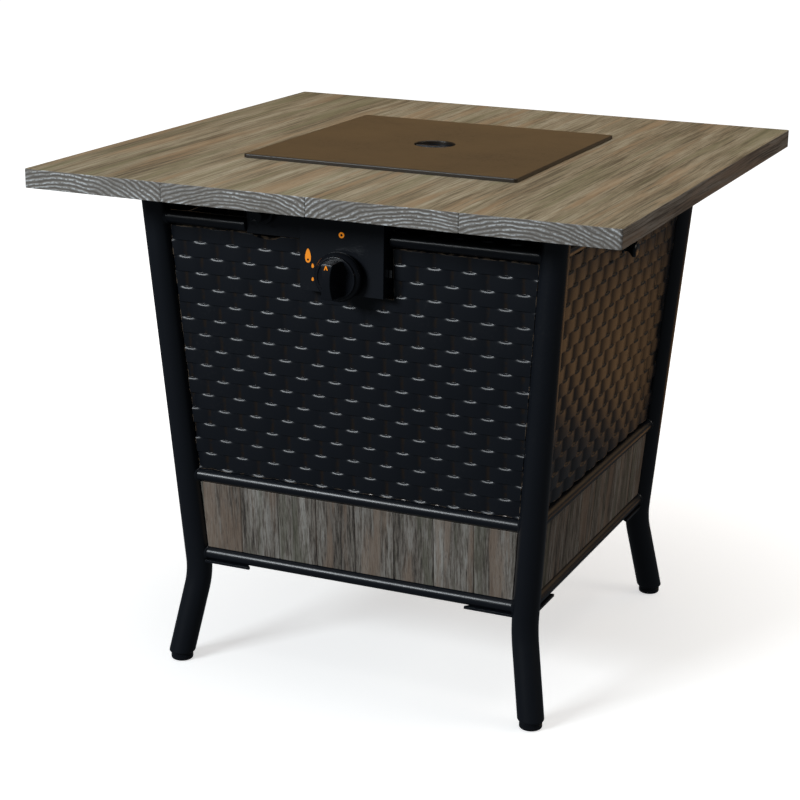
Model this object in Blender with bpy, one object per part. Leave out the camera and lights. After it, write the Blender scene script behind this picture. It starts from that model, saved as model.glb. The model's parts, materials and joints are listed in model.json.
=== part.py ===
"""Square gas fire-pit table: leaning tube frame, wicker and plank panels, wood top, burner, grate and lid.

Units are metres, +Z is up, the control side faces -Y and the access door faces +X.
The origin is on the floor, under the centre of the table.
"""

import math

import bmesh
import bpy
from mathutils import Matrix, Vector

MM = 0.001

# ---- overall sizes ----
TOP_WIDTH = 711.2 * MM          # tabletop, left to right
TOP_DEPTH = 711.2 * MM          # tabletop, front to back
TOP_HEIGHT = 628.0 * MM         # floor to the tabletop's upper face
TOP_THICKNESS = 22.0 * MM
GAP = 0.3 * MM                  # space left between two pieces that touch

# ---- legs: straight, leaning in on the way down, then flared out below the knee ----
LEG_DIAMETER = 31.8 * MM
LEG_WALL = 1.5 * MM
LEG_TOP_REACH = 250.0 * MM      # leg axis from the centre planes, at the tabletop's underside
KNEE_REACH = 215.0 * MM
KNEE_HEIGHT = 113.0 * MM
KNEE_RADIUS = 110.0 * MM
FOOT_REACH = 233.0 * MM
FOOT_TAPER_HEIGHT = 4.0 * MM    # the tube's swaged end
FOOT_TAPER = 2.2 * MM
LEG_SIDES = 24
KNEE_STEPS = 5

# ---- foot caps ----
CAP_HEIGHT = 10.0 * MM
CAP_EDGE = 2.5 * MM
CAP_PLUG_CLEARANCE = 2.2 * MM   # all round, since the tube leans over the plug
CAP_PLUG_LENGTH = 8.0 * MM

# ---- rails between the legs ----
RAIL_DIAMETER = 15.9 * MM
RAIL_WALL = 1.2 * MM
RAIL_SIDES = 16
LOWER_RAIL_HEIGHT = 141.0 * MM
MIDDLE_RAIL_HEIGHT = 244.0 * MM
TOP_RAIL_DROP = 40.0 * MM       # its axis, under the tabletop's underside

# ---- wicker panels, each a shallow pressed pan ----
PANEL_SHEET = 1.5 * MM
PANEL_FACE = 2.0 * MM           # outer face, outwards from the plane of the leg axes
PANEL_BACK = -10.0 * MM         # back edge of the flanges
PANEL_SIDE_GAP = 1.0 * MM
PANEL_BOTTOM_GAP = 1.0 * MM
PANEL_TOP_GAP = 2.4 * MM
PANEL_SNUG_GAP = 0.5 * MM       # above the side and back panels that don't move and aren't cut

# ---- plank skirts under the wicker ----
SKIRT_THICKNESS = 5.0 * MM
SKIRT_GAP = 0.6 * MM
SKIRT_PLANKS = 8
PLANK_WIDTH = 50.8 * MM
GROOVE_WIDTH = 2.0 * MM
GROOVE_DEPTH = 1.4 * MM

# ---- corner gussets under the lower rails ----
GUSSET_THICKNESS = 3.0 * MM
GUSSET_REACH = 75.0 * MM        # from the leg axis, along each rail

# ---- tabletop and its planks, whose joints show as notches in the front and back edges ----
TOP_PLANKS = 4
TOP_NOTCH_WIDTH = 1.5 * MM
TOP_NOTCH_DEPTH = 1.0 * MM
FIRE_OPENING = 322.0 * MM
FIRE_CORNER = 8.0 * MM

# ---- steel plate that joins the leg tops and carries the tabletop and the bowl ----
FRAME_MARGIN = 12.0 * MM        # its outer edge, beyond the leg axes
FRAME_THICKNESS = 3.0 * MM
BOWL_BEARING = 9.0 * MM         # the plate's width under the bowl's flange

# ---- fire bowl ----
BOWL_SHEET = 1.5 * MM
BOWL_OUTER_CLEARANCE = 2.0 * MM  # from the flange to the fire opening
BOWL_INNER_CLEARANCE = 2.5 * MM  # from the wall to the plate's opening
BOWL_TAPER = 22.0 * MM          # how far each wall leans in
BOWL_DEPTH = 48.0 * MM          # under the flange's seat to the underside of the floor
BOWL_CORNER = 14.0 * MM
NIPPLE_HOLE_DIAMETER = 20.0 * MM

# ---- burner, orifice and supply tube ----
BURNER_RADIUS = 75.0 * MM
BURNER_TUBE = 14.0 * MM
BURNER_LIFT = 3.5 * MM          # under the ring, above the bowl's floor
NIPPLE_DIAMETER = 16.0 * MM
NIPPLE_LENGTH = 2.5 * MM        # below the bowl's floor
ORIFICE_DIAMETER = 18.0 * MM
ORIFICE_HEIGHT = 8.0 * MM
SUPPLY_DIAMETER = 8.0 * MM
SUPPLY_CLEARANCE = 2.0 * MM     # from the tube up to the bowl
SUPPLY_START = 14.0 * MM        # straight length out of the valve
SUPPLY_BEND = 12.0 * MM         # from a bend's corner to where it starts
SUPPLY_BEND_STEPS = 5
SUPPLY_SLANT = 1.4              # run over rise of the sloping length
ELECTRODE_DIAMETER = 7.0 * MM
ELECTRODE_TIP = 2.4 * MM
ELECTRODE_REACH = 94.0 * MM
ELECTRODE_CLEARANCE = 2.0 * MM  # from the tip up to the grate

# ---- grate and lava rocks ----
GRATE_LIFT = 22.5 * MM          # its underside, above the bowl's floor
GRATE_THICKNESS = 5.0 * MM
GRATE_BAR = 6.0 * MM
GRATE_SLOTS = 9
GRATE_SLOT_ROWS = 3
ROCK_HEIGHT = 22.0 * MM
ROCK_MARGIN = 3.0 * MM

# ---- lid ----
LID_OVERLAP = 11.5 * MM         # beyond the fire opening, on each side
LID_RIM = 4.5 * MM
LID_SHEET = 1.5 * MM
LID_CORNER = 4.0 * MM
CUP_DIAMETER = 50.0 * MM
CUP_DEPTH = 16.0 * MM
CUP_SHEET = 1.0 * MM
CUP_FLANGE = 5.0 * MM
BAR_DIAMETER = 7.0 * MM
BAR_DROP = 5.5 * MM             # its axis, below the lid's upper face

# ---- control panel, valve and knob ----
CONTROL_PROUD = 14.0 * MM       # its front face, beyond the leg axes at the top
CONTROL_WIDTH = 104.0 * MM
CONTROL_HEIGHT = 100.8 * MM
CONTROL_DEPTH = 24.0 * MM
CONTROL_SHEET = 1.5 * MM
CONTROL_TOP_GAP = 0.6 * MM      # under the frame plate
CONTROL_SLOT = 4.0 * MM         # between the box and the wicker's cut edge
WING_REACH = 127.2 * MM         # the igniter wing's outer end, from the centre plane
WING_GAP = 0.9 * MM             # above the wicker's upper edge
KNOB_DROP = 78.8 * MM           # knob axis, under the control panel's upper edge
STEM_DIAMETER = 8.0 * MM
STEM_HOLE = 12.0 * MM
STEM_LENGTH = 32.0 * MM
STEM_IN_VALVE = 8.0 * MM
STEM_CLEARANCE = 0.3 * MM
STEM_END_CLEARANCE = 2.0 * MM   # left behind the stem when the knob is pushed in
VALVE_WIDTH = 34.0 * MM
VALVE_DEPTH = 38.0 * MM
VALVE_EDGE = 3.0 * MM
INLET_DIAMETER = 14.0 * MM
INLET_LENGTH = 16.0 * MM
KNOB_SKIRT_DIAMETER = 57.0 * MM
KNOB_SKIRT_DEPTH = 11.0 * MM
KNOB_FACE_DIAMETER = 45.0 * MM
KNOB_GRIP_WIDTH = 15.0 * MM
KNOB_GRIP_LENGTH = 44.0 * MM
KNOB_GRIP_DEPTH = 23.0 * MM
KNOB_TRAVEL = 3.5 * MM
KNOB_STOP_CLEARANCE = 0.4 * MM  # left between the washer and the panel when the knob is pushed in
WASHER_DIAMETER = 18.0 * MM
WASHER_THICKNESS = 1.5 * MM
CLIP_WIDTH = 8.0 * MM
CLIP_HEIGHT = 9.0 * MM
CLIP_SHEET = 1.2 * MM

# ---- push-button igniter ----
IGNITER_SIDE = 102.6 * MM       # its axis, left of the centre plane
IGNITER_DROP = 18.8 * MM        # its axis, under the control panel's upper edge
IGNITER_HOLE = 18.0 * MM
IGNITER_BODY = 21.0 * MM
IGNITER_BODY_LENGTH = 44.0 * MM
IGNITER_COLLAR = 26.0 * MM
IGNITER_COLLAR_DEPTH = 8.0 * MM
COLLAR_EDGE = 1.0 * MM
BUTTON_STEM = 13.0 * MM
BUTTON_CAP = 17.0 * MM
BUTTON_CAP_DEPTH = 15.0 * MM
BUTTON_EDGE = 1.5 * MM
BUTTON_STEM_DEPTH = 9.0 * MM
BUTTON_TRAVEL = 3.0 * MM
NOTCH_RADIUS = 36.0 * MM
NOTCH_BITE = 5.2 * MM           # how far the notch reaches below the wicker's upper edge

# ---- access door on the right side ----
DOOR_BOTTOM_GAP = 4.0 * MM
HINGE_RISE = 7.0 * MM           # pin axis above the door's lower edge
HINGE_SET_BACK = -4.0 * MM      # pin axis, inwards from the plane of the leg axes
PIN_DIAMETER = 5.0 * MM
PIN_LENGTH = 10.0 * MM
DOOR_KNOB_DROP = 26.0 * MM      # under the door's upper edge
DOOR_KNOB_HEAD = 20.0 * MM
DOOR_KNOB_NECK = 9.0 * MM
DOOR_KNOB_REACH = 18.0 * MM
DOOR_KNOB_FOOT = 3.0 * MM
CATCH_WIDTH = 30.0 * MM
CATCH_DEPTH = 8.0 * MM
CATCH_DROP = 21.0 * MM          # its lower edge, under the top rail's axis
CATCH_GAP = 0.4 * MM            # behind the door

# ---- places worked out from the sizes above ----
UNDERSIDE = TOP_HEIGHT - TOP_THICKNESS
FRAME_TOP = UNDERSIDE - GAP
LEG_TOP = FRAME_TOP - FRAME_THICKNESS - GAP
LEG_RADIUS = LEG_DIAMETER / 2
CAP_DIAMETER = LEG_DIAMETER - 2 * FOOT_TAPER
CAP_PLUG_DIAMETER = CAP_DIAMETER - 2 * (LEG_WALL + CAP_PLUG_CLEARANCE)
TOP_RAIL_HEIGHT = UNDERSIDE - TOP_RAIL_DROP
RAIL_RADIUS = RAIL_DIAMETER / 2
LEAN = math.atan2(LEG_TOP_REACH - KNEE_REACH, UNDERSIDE - KNEE_HEIGHT)
EDGE_LEAN = math.atan(math.sin(LEAN))
FRAME_REACH = LEG_TOP_REACH + FRAME_MARGIN
SEAT_OF_BOWL = FRAME_TOP + GAP
BOWL_FLANGE = FIRE_OPENING - 2 * BOWL_OUTER_CLEARANCE
FRAME_OPENING = BOWL_FLANGE - 2 * BOWL_BEARING
BOWL_MOUTH = FRAME_OPENING - 2 * (BOWL_SHEET + BOWL_INNER_CLEARANCE)
BOWL_FLOOR = BOWL_MOUTH - 2 * BOWL_TAPER
BOWL_FLOOR_TOP = SEAT_OF_BOWL - BOWL_DEPTH + BOWL_SHEET
BURNER_HEIGHT = BOWL_FLOOR_TOP + BURNER_LIFT + BURNER_TUBE / 2
GRATE_BOTTOM = BOWL_FLOOR_TOP + GRATE_LIFT
GRATE_TOP = GRATE_BOTTOM + GRATE_THICKNESS
LID_WIDTH = FIRE_OPENING + 2 * LID_OVERLAP
LID_BOTTOM = TOP_HEIGHT + GAP
LID_TOP = LID_BOTTOM + LID_RIM
CONTROL_FACE = LEG_TOP_REACH + CONTROL_PROUD
WING_FACE = LEG_TOP_REACH
CONTROL_TOP = LEG_TOP - CONTROL_TOP_GAP
KNOB_AXIS = CONTROL_TOP - KNOB_DROP
IGNITER_AXIS = CONTROL_TOP - IGNITER_DROP
KNOB_BACK = CONTROL_FACE + KNOB_TRAVEL + WASHER_THICKNESS + 2 * GAP + KNOB_STOP_CLEARANCE
SUPPLY_HEIGHT = SEAT_OF_BOWL - BOWL_DEPTH - SUPPLY_CLEARANCE - SUPPLY_DIAMETER / 2
SIDES = {"front": 0, "right": 1, "back": 2, "left": 3}
CORNERS = {
    "back_right": (1, 1),
    "back_left": (-1, 1),
    "front_left": (-1, -1),
    "front_right": (1, -1),
}


# ---------------------------------------------------------------- materials

def finish(name, colour, roughness, metallic=0.0):
    """A Principled material, made once for each name."""
    found = bpy.data.materials.get(name)
    if found:
        return found
    made = bpy.data.materials.new(name)
    made.use_nodes = True
    shader = made.node_tree.nodes["Principled BSDF"]
    shader.inputs["Base Color"].default_value = (*colour, 1.0)
    shader.inputs["Roughness"].default_value = roughness
    shader.inputs["Metallic"].default_value = metallic
    return made


def black_steel():
    return finish("black_steel", (0.012, 0.014, 0.018), 0.38, 0.0)


def black_wicker():
    return finish("black_wicker", (0.016, 0.018, 0.023), 0.34, 0.0)


def bronze_lid():
    return finish("bronze_lid", (0.060, 0.045, 0.032), 0.36, 0.3)


def weathered_top():
    return finish("weathered_top", (0.30, 0.25, 0.19), 0.62)


def weathered_skirt():
    return finish("weathered_skirt", (0.20, 0.18, 0.155), 0.66)


def black_plastic():
    return finish("black_plastic", (0.014, 0.014, 0.016), 0.42)


def bare_steel():
    return finish("bare_steel", (0.55, 0.55, 0.54), 0.34, 1.0)


def brass():
    return finish("brass", (0.60, 0.42, 0.18), 0.35, 1.0)


def ceramic():
    return finish("ceramic", (0.82, 0.80, 0.75), 0.30)


def lava():
    return finish("lava", (0.11, 0.055, 0.045), 0.95)


# ---------------------------------------------------------------- shapes

def place(name, work, material, round_piece=False, matrix=None):
    """Make an object from a bmesh, with its faces pointing out, and put it at its place."""
    bmesh.ops.recalc_face_normals(work, faces=work.faces)
    mesh = bpy.data.meshes.new(name)
    work.to_mesh(mesh)
    work.free()
    if round_piece:
        mesh.shade_smooth()
        mesh.set_sharp_from_angle(angle=math.radians(32))
    piece = bpy.data.objects.new(name, mesh)
    bpy.context.scene.collection.objects.link(piece)
    if material:
        mesh.materials.append(material)
    if matrix:
        piece.matrix_world = matrix
    return piece


def hang(name, matrix, pieces):
    """Hang a moving body's pieces on an empty that stands on its joint's axis."""
    pivot = bpy.data.objects.new(name, None)
    bpy.context.scene.collection.objects.link(pivot)
    pivot.matrix_world = matrix
    for piece in pieces:
        piece.parent = pivot
        piece.matrix_parent_inverse = matrix.inverted()


def skin(name, loops, material, joined=False, matrix=None, round_piece=False):
    """A closed solid through loops of equal length: capped at both ends, or joined into a ring."""
    work = bmesh.new()
    rows = [[work.verts.new(point) for point in loop] for loop in loops]
    pairs = list(zip(rows, rows[1:]))
    if joined:
        pairs.append((rows[-1], rows[0]))
    else:
        work.faces.new(rows[0])
        work.faces.new(rows[-1])
    for low, high in pairs:
        for index, vertex in enumerate(low):
            after = (index + 1) % len(low)
            work.faces.new((vertex, low[after], high[after], high[index]))
    return place(name, work, material, round_piece, matrix)


def prism(name, outline, low, high, material, matrix=None, round_piece=False):
    """A flat outline pushed from one height to another."""
    loops = [[Vector((x, y, height)) for x, y in outline] for height in (low, high)]
    return skin(name, loops, material, matrix=matrix, round_piece=round_piece)


def box(name, low, high, material, matrix=None):
    """A box between two corners."""
    outline = [(low[0], low[1]), (high[0], low[1]), (high[0], high[1]), (low[0], high[1])]
    return prism(name, outline, low[2], high[2], material, matrix)


def rounded_loop(half_x, half_y, radius, height, steps=3):
    """A rounded rectangle at one height, counter-clockwise from above."""
    points = []
    for quarter, (side_x, side_y) in enumerate(((1, 1), (-1, 1), (-1, -1), (1, -1))):
        for step in range(steps + 1):
            angle = (quarter + step / steps) * math.pi / 2
            points.append(Vector((
                side_x * (half_x - radius) + radius * math.cos(angle),
                side_y * (half_y - radius) + radius * math.sin(angle),
                height,
            )))
    return points


def circle(radius, height, sides):
    """A circle about Z at one height."""
    turns = [2 * math.pi * step / sides for step in range(sides)]
    return [Vector((radius * math.cos(turn), radius * math.sin(turn), height)) for turn in turns]


def turned(name, profile, sides, material, joined=False, matrix=None):
    """A profile of (radius, height) points, turned about Z."""
    loops = [circle(radius, height, sides) for radius, height in profile]
    return skin(name, loops, material, joined, matrix, round_piece=True)


def ring_round(centre, along, radius, sides, level=None):
    """A circle square to a direction, or its slanted section at a level."""
    across = along.cross(Vector((1, -1, 0))).normalized()
    other = along.cross(across).normalized()
    points = []
    for step in range(sides):
        turn = 2 * math.pi * step / sides
        point = centre + radius * (math.cos(turn) * across + math.sin(turn) * other)
        if level is not None:
            point += along * ((level - point.z) / along.z)
        points.append(point)
    return points


def cut(piece, cutter, operation="DIFFERENCE"):
    """Cut one object with another, or join it on."""
    modifier = piece.modifiers.new(cutter.name, "BOOLEAN")
    modifier.operation = operation
    modifier.object = cutter
    modifier.solver = "EXACT"
    cutter.hide_render = True
    cutter.display_type = "WIRE"
    return piece


def facing_front(depth, height, side=0.0):
    """A frame whose +Z points out of the front, at a distance from the centre plane."""
    return Matrix.Translation((side, -depth, height)) @ Matrix.Rotation(math.pi / 2, 4, "X")


# ---------------------------------------------------------------- the leaning planes

def reach_at(height):
    """How far the leg axes stand from the centre planes at a height above the knee."""
    return LEG_TOP_REACH + (height - UNDERSIDE) * math.tan(LEAN)


def up_slope(height):
    """The distance up the leaning plane for a height."""
    return height / math.cos(LEAN)


def side_frame(side):
    """Frame of one side: X along it, Y up the slope from the floor, Z outwards."""
    across = Vector((1, 0, 0))
    up = Vector((0, -math.sin(LEAN), math.cos(LEAN)))
    out = across.cross(up)
    frame = Matrix((across, up, out)).transposed().to_4x4()
    frame.translation = Vector((0, -reach_at(0), 0))
    return Matrix.Rotation(SIDES[side] * math.pi / 2, 4, "Z") @ frame


def half_width(slope, gap):
    """Half the free width between two legs, at a distance up the slope."""
    reach = reach_at(slope * math.cos(LEAN))
    return reach - (LEG_RADIUS + gap) / math.cos(EDGE_LEAN)


def trapezoid(low, high, gap):
    """Outline between two legs, from one distance up the slope to another."""
    below = half_width(low, gap)
    above = half_width(high, gap)
    return [(-below, low), (below, low), (above, high), (-above, high)]


# ---------------------------------------------------------------- legs and feet

def leg_line():
    """Axis points of a leg in the +X +Y corner, from the foot up, with the rounded knee."""
    foot = Vector((FOOT_REACH, FOOT_REACH, CAP_HEIGHT))
    knee = Vector((KNEE_REACH, KNEE_REACH, KNEE_HEIGHT))
    top = Vector((LEG_TOP_REACH, LEG_TOP_REACH, UNDERSIDE))
    down = (foot - knee).normalized()
    up = (top - knee).normalized()
    bend = math.pi - down.angle(up)
    tangent = KNEE_RADIUS * math.tan(bend / 2)
    inwards = (down + up).normalized()
    centre = knee + inwards * math.hypot(KNEE_RADIUS, tangent)
    start = knee + down * tangent - centre
    end = knee + up * tangent - centre
    points = [foot, foot - down * FOOT_TAPER_HEIGHT]
    for step in range(KNEE_STEPS + 1):
        points.append(centre + start.length * start.slerp(end, step / KNEE_STEPS))
    points.append(knee + up * ((LEG_TOP - KNEE_HEIGHT) / up.z))
    return points


def leg_rings(radius, end_radius):
    """Rings of a leg-shaped tube in the +X +Y corner, level at both ends."""
    points = leg_line()
    rings = []
    for index, point in enumerate(points):
        before = points[max(index - 1, 0)]
        after = points[min(index + 1, len(points) - 1)]
        if index <= 1:
            along = (points[1] - points[0]).normalized()
        elif index == len(points) - 1:
            along = (point - before).normalized()
        else:
            along = (after - point).normalized() + (point - before).normalized()
            along.normalize()
        level = None
        if index <= 1:
            level = CAP_HEIGHT + index * FOOT_TAPER_HEIGHT
        elif index == len(points) - 1:
            level = LEG_TOP
        size = end_radius if index == 0 else radius
        rings.append(ring_round(point, along, size, LEG_SIDES, level))
    return rings


def corner_turn(corner):
    """The turn about the table's centre that brings a leg from the +X +Y corner to another."""
    return Matrix.Rotation(list(CORNERS).index(corner) * math.pi / 2, 4, "Z")


def build_legs():
    """Four hollow bent legs."""
    outside = leg_rings(LEG_RADIUS, LEG_RADIUS - FOOT_TAPER)
    inside = leg_rings(LEG_RADIUS - LEG_WALL, LEG_RADIUS - LEG_WALL - FOOT_TAPER)
    rings = outside + inside[::-1]
    for corner in CORNERS:
        turn = corner_turn(corner)
        skin("leg_" + corner, rings, black_steel(), joined=True, matrix=turn, round_piece=True)


def leg_cutters():
    """A solid leg with clearance in each corner, for the pieces that meet the legs."""
    rings = leg_rings(LEG_RADIUS + GAP, LEG_RADIUS + GAP)
    cutters = {}
    for corner in CORNERS:
        cutters[corner] = skin("cutter_leg_" + corner, rings, None, matrix=corner_turn(corner))
    return cutters


def build_foot_caps():
    """A plastic cap under each leg, with a plug up the tube."""
    radius = CAP_DIAMETER / 2
    rim = CAP_HEIGHT - GAP
    plug = CAP_PLUG_DIAMETER / 2
    profile = [
        (radius - CAP_EDGE, 0),
        (radius - CAP_EDGE * 0.3, CAP_EDGE * 0.3),
        (radius, CAP_EDGE),
        (radius, rim),
        (plug, rim),
        (plug, rim + CAP_PLUG_LENGTH),
    ]
    for name, (side_x, side_y) in CORNERS.items():
        spot = Matrix.Translation((side_x * FOOT_REACH, side_y * FOOT_REACH, 0))
        turned("foot_cap_" + name, profile, 24, black_plastic(), matrix=spot)


# ---------------------------------------------------------------- rails, panels, skirts, gussets

def rail(name, side, height, start, end, cutters):
    """A round tube along one side, coped where it meets a leg."""
    frame = side_frame(side)
    slope = up_slope(height)
    rings = []
    for radius, ends in ((RAIL_RADIUS, (start, end)), (RAIL_RADIUS - RAIL_WALL, (end, start))):
        for across in ends:
            rings.append([Vector((across, slope + p.x, p.y)) for p in circle(radius, 0, RAIL_SIDES)])
    tube = skin(name, rings, black_steel(), joined=True, matrix=frame, round_piece=True)
    for cutter in cutters:
        cut(tube, cutter)


def build_rails(cutters):
    """Lower, middle and top rails; the front top rail is open round the control panel."""
    ends = {
        "front": ("front_left", "front_right"),
        "right": ("front_right", "back_right"),
        "back": ("back_right", "back_left"),
        "left": ("back_left", "front_left"),
    }
    rows = (("lower", LOWER_RAIL_HEIGHT), ("middle", MIDDLE_RAIL_HEIGHT), ("top", TOP_RAIL_HEIGHT))
    for row, height in rows:
        reach = reach_at(height)
        for side, (first, second) in ends.items():
            if (row, side) == ("top", "front"):
                left_end = -(WING_REACH + GAP)
                right_end = CONTROL_WIDTH / 2 + CONTROL_SLOT / 2
                rail("top_rail_front_left", side, height, -reach, left_end, [cutters[first]])
                rail("top_rail_front_right", side, height, right_end, reach, [cutters[second]])
                continue
            rail(f"{row}_rail_{side}", side, height, -reach, reach, [cutters[first], cutters[second]])


def pan(name, side, bottom_gap, top_gap):
    """A pressed panel with flanges round its back, between the middle and the top rail."""
    low = up_slope(MIDDLE_RAIL_HEIGHT) + RAIL_RADIUS + bottom_gap
    high = up_slope(TOP_RAIL_HEIGHT) - RAIL_RADIUS - top_gap
    inner_gap = PANEL_SIDE_GAP + PANEL_SHEET
    outer = trapezoid(low, high, PANEL_SIDE_GAP)
    inner = trapezoid(low + PANEL_SHEET, high - PANEL_SHEET, inner_gap)
    levels = (
        (outer, PANEL_FACE),
        (outer, PANEL_BACK),
        (inner, PANEL_BACK),
        (inner, PANEL_FACE - PANEL_SHEET),
    )
    loops = [[Vector((x, y, level)) for x, y in outline] for outline, level in levels]
    return skin(name, loops, black_wicker(), matrix=side_frame(side)), low, high


def build_panels():
    """Three fixed wicker panels; the front one is cut out for the control panel and the igniter."""
    for side in ("back", "left"):
        pan("wicker_panel_" + side, side, PANEL_BOTTOM_GAP, PANEL_SNUG_GAP)
    front, _, high = pan("wicker_panel_front", "front", PANEL_BOTTOM_GAP, PANEL_TOP_GAP)
    edge = high * math.cos(LEAN)
    half = CONTROL_WIDTH / 2 + CONTROL_SLOT
    floor = CONTROL_TOP - CONTROL_HEIGHT - CONTROL_SLOT
    window = box(
        "cutter_control_window",
        (-half, -CONTROL_FACE - RAIL_DIAMETER, floor),
        (half, -CONTROL_FACE + 3 * CONTROL_DEPTH, LEG_TOP),
        None,
    )
    cut(front, window)
    centre = edge + NOTCH_RADIUS - NOTCH_BITE
    notch = turned(
        "cutter_notch",
        [(NOTCH_RADIUS, -3 * CONTROL_DEPTH), (NOTCH_RADIUS, CONTROL_DEPTH)],
        48,
        None,
        matrix=facing_front(WING_FACE, centre, -IGNITER_SIDE),
    )
    cut(front, notch)


def build_skirts():
    """Plank-look skirts between the lower and the middle rails."""
    low = up_slope(LOWER_RAIL_HEIGHT) + RAIL_RADIUS + SKIRT_GAP
    high = up_slope(MIDDLE_RAIL_HEIGHT) - RAIL_RADIUS - SKIRT_GAP
    half = SKIRT_THICKNESS / 2
    joints = [(index - SKIRT_PLANKS / 2) * PLANK_WIDTH for index in range(1, SKIRT_PLANKS)]
    for side in SIDES:
        loops = []
        for slope in (low, high):
            end = half_width(slope, PANEL_SIDE_GAP)
            points = [(end, half), (end, -half), (-end, -half), (-end, half)]
            for joint in joints:
                points.append((joint - GROOVE_WIDTH / 2, half))
                points.append((joint, half - GROOVE_DEPTH))
                points.append((joint + GROOVE_WIDTH / 2, half))
            loops.append([Vector((x, slope, z)) for x, z in points])
        skin("skirt_" + side, loops, weathered_skirt(), matrix=side_frame(side))


def build_gussets(cutters):
    """A triangular plate under each corner of the lower rails, notched round the leg."""
    axis = reach_at(LOWER_RAIL_HEIGHT)
    outer = axis + RAIL_RADIUS
    inner = axis - GUSSET_REACH
    top = LOWER_RAIL_HEIGHT - RAIL_RADIUS - GAP
    bevel = GUSSET_THICKNESS
    for name, (side_x, side_y) in CORNERS.items():
        corners = [
            (inner, outer),
            (inner, outer - bevel),
            (outer - bevel, inner),
            (outer, inner),
            (outer, outer),
        ]
        outline = [(side_x * x, side_y * y) for x, y in corners]
        plate = prism("gusset_" + name, outline, top - GUSSET_THICKNESS, top, black_steel())
        cut(plate, cutters[name])


# ---------------------------------------------------------------- top, frame, bowl, lid

def build_tabletop():
    """The top, notched at its plank joints along the front and back edges, and open over the bowl."""
    half_x = TOP_WIDTH / 2
    half_y = TOP_DEPTH / 2
    front = [(-half_x, -half_y)]
    for index in range(1, TOP_PLANKS):
        joint = index * TOP_WIDTH / TOP_PLANKS - half_x
        front.append((joint - TOP_NOTCH_WIDTH / 2, -half_y))
        front.append((joint, -half_y + TOP_NOTCH_DEPTH))
        front.append((joint + TOP_NOTCH_WIDTH / 2, -half_y))
    front.append((half_x, -half_y))
    outline = front + [(x, -y) for x, y in reversed(front)]
    top = prism("tabletop", outline, UNDERSIDE, TOP_HEIGHT, weathered_top())
    opening = FIRE_OPENING / 2
    hole = skin(
        "cutter_fire_opening",
        [rounded_loop(opening, opening, FIRE_CORNER, level)
         for level in (UNDERSIDE - TOP_THICKNESS, TOP_HEIGHT + TOP_THICKNESS)],
        None,
    )
    cut(top, hole)


def build_frame_plate():
    """A square steel ring on the leg tops, under the tabletop."""
    opening = FRAME_OPENING / 2
    low = FRAME_TOP - FRAME_THICKNESS
    loops = [
        rounded_loop(FRAME_REACH, FRAME_REACH, BOWL_CORNER, low),
        rounded_loop(FRAME_REACH, FRAME_REACH, BOWL_CORNER, FRAME_TOP),
        rounded_loop(opening, opening, BOWL_CORNER, FRAME_TOP),
        rounded_loop(opening, opening, BOWL_CORNER, low),
    ]
    skin("frame_plate", loops, black_steel(), joined=True)


def bowl_half_inside(height):
    """Half the bowl's inner width at a height."""
    mouth = SEAT_OF_BOWL + BOWL_SHEET
    share = (height - BOWL_FLOOR_TOP) / (mouth - BOWL_FLOOR_TOP)
    return BOWL_FLOOR / 2 + (BOWL_MOUTH - BOWL_FLOOR) / 2 * share


def build_bowl():
    """The tapered burner bowl, hung by its flange on the frame plate."""
    seat = SEAT_OF_BOWL
    floor = seat - BOWL_DEPTH
    flange = BOWL_FLANGE / 2
    profile = [
        (BOWL_FLOOR / 2 + BOWL_SHEET, floor),
        (BOWL_MOUTH / 2 + BOWL_SHEET, seat),
        (flange, seat),
        (flange, seat + BOWL_SHEET),
        (BOWL_MOUTH / 2, seat + BOWL_SHEET),
        (BOWL_FLOOR / 2, BOWL_FLOOR_TOP),
    ]
    loops = [rounded_loop(half, half, BOWL_CORNER, height) for half, height in profile]
    bowl = skin("fire_bowl", loops, black_steel())
    hole = turned(
        "cutter_nipple_hole",
        [(NIPPLE_HOLE_DIAMETER / 2, floor - BOWL_DEPTH), (NIPPLE_HOLE_DIAMETER / 2, seat)],
        24,
        None,
    )
    cut(bowl, hole)


def build_lid():
    """The lift-off lid: a pressed cover with a round finger cup and a bar across it."""
    half = LID_WIDTH / 2
    inner = half - LID_SHEET
    plate_bottom = LID_TOP - LID_SHEET
    loops = [
        rounded_loop(half, half, LID_CORNER, LID_TOP),
        rounded_loop(half, half, LID_CORNER, LID_BOTTOM),
        rounded_loop(inner, inner, LID_CORNER - LID_SHEET, LID_BOTTOM),
        rounded_loop(inner, inner, LID_CORNER - LID_SHEET, plate_bottom),
    ]
    lid = skin("lid", loops, bronze_lid())
    radius = CUP_DIAMETER / 2
    hole = turned("cutter_cup_hole", [(radius, UNDERSIDE), (radius, LID_TOP + LID_RIM)], 40, None)
    cut(lid, hole)

    seat = plate_bottom - GAP
    bottom = seat - CUP_DEPTH
    profile = [
        (radius * 0.5, bottom),
        (radius - CUP_SHEET, bottom),
        (radius + CUP_SHEET, bottom + 2 * CUP_SHEET),
        (radius + CUP_SHEET, seat - CUP_SHEET),
        (radius + CUP_FLANGE, seat - CUP_SHEET),
        (radius + CUP_FLANGE, seat),
        (radius, seat),
        (radius, bottom + 2 * CUP_SHEET),
        (radius - CUP_SHEET, bottom + CUP_SHEET),
        (radius * 0.5, bottom + CUP_SHEET),
    ]
    cup = turned("lid_cup", profile, 40, black_steel())

    height = LID_TOP - BAR_DROP
    reach = math.sqrt(radius ** 2 - (BAR_DIAMETER / 2) ** 2) - GAP
    section = circle(BAR_DIAMETER / 2, 0, 16)
    rings = [[Vector((x, p.x, height + p.y)) for p in section] for x in (-reach, reach)]
    bar = skin("lid_bar", rings, black_steel(), round_piece=True)
    hang("lid_pivot", Matrix.Translation((0, 0, LID_BOTTOM)), (lid, cup, bar))


# ---------------------------------------------------------------- burner, grate, rocks

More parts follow.
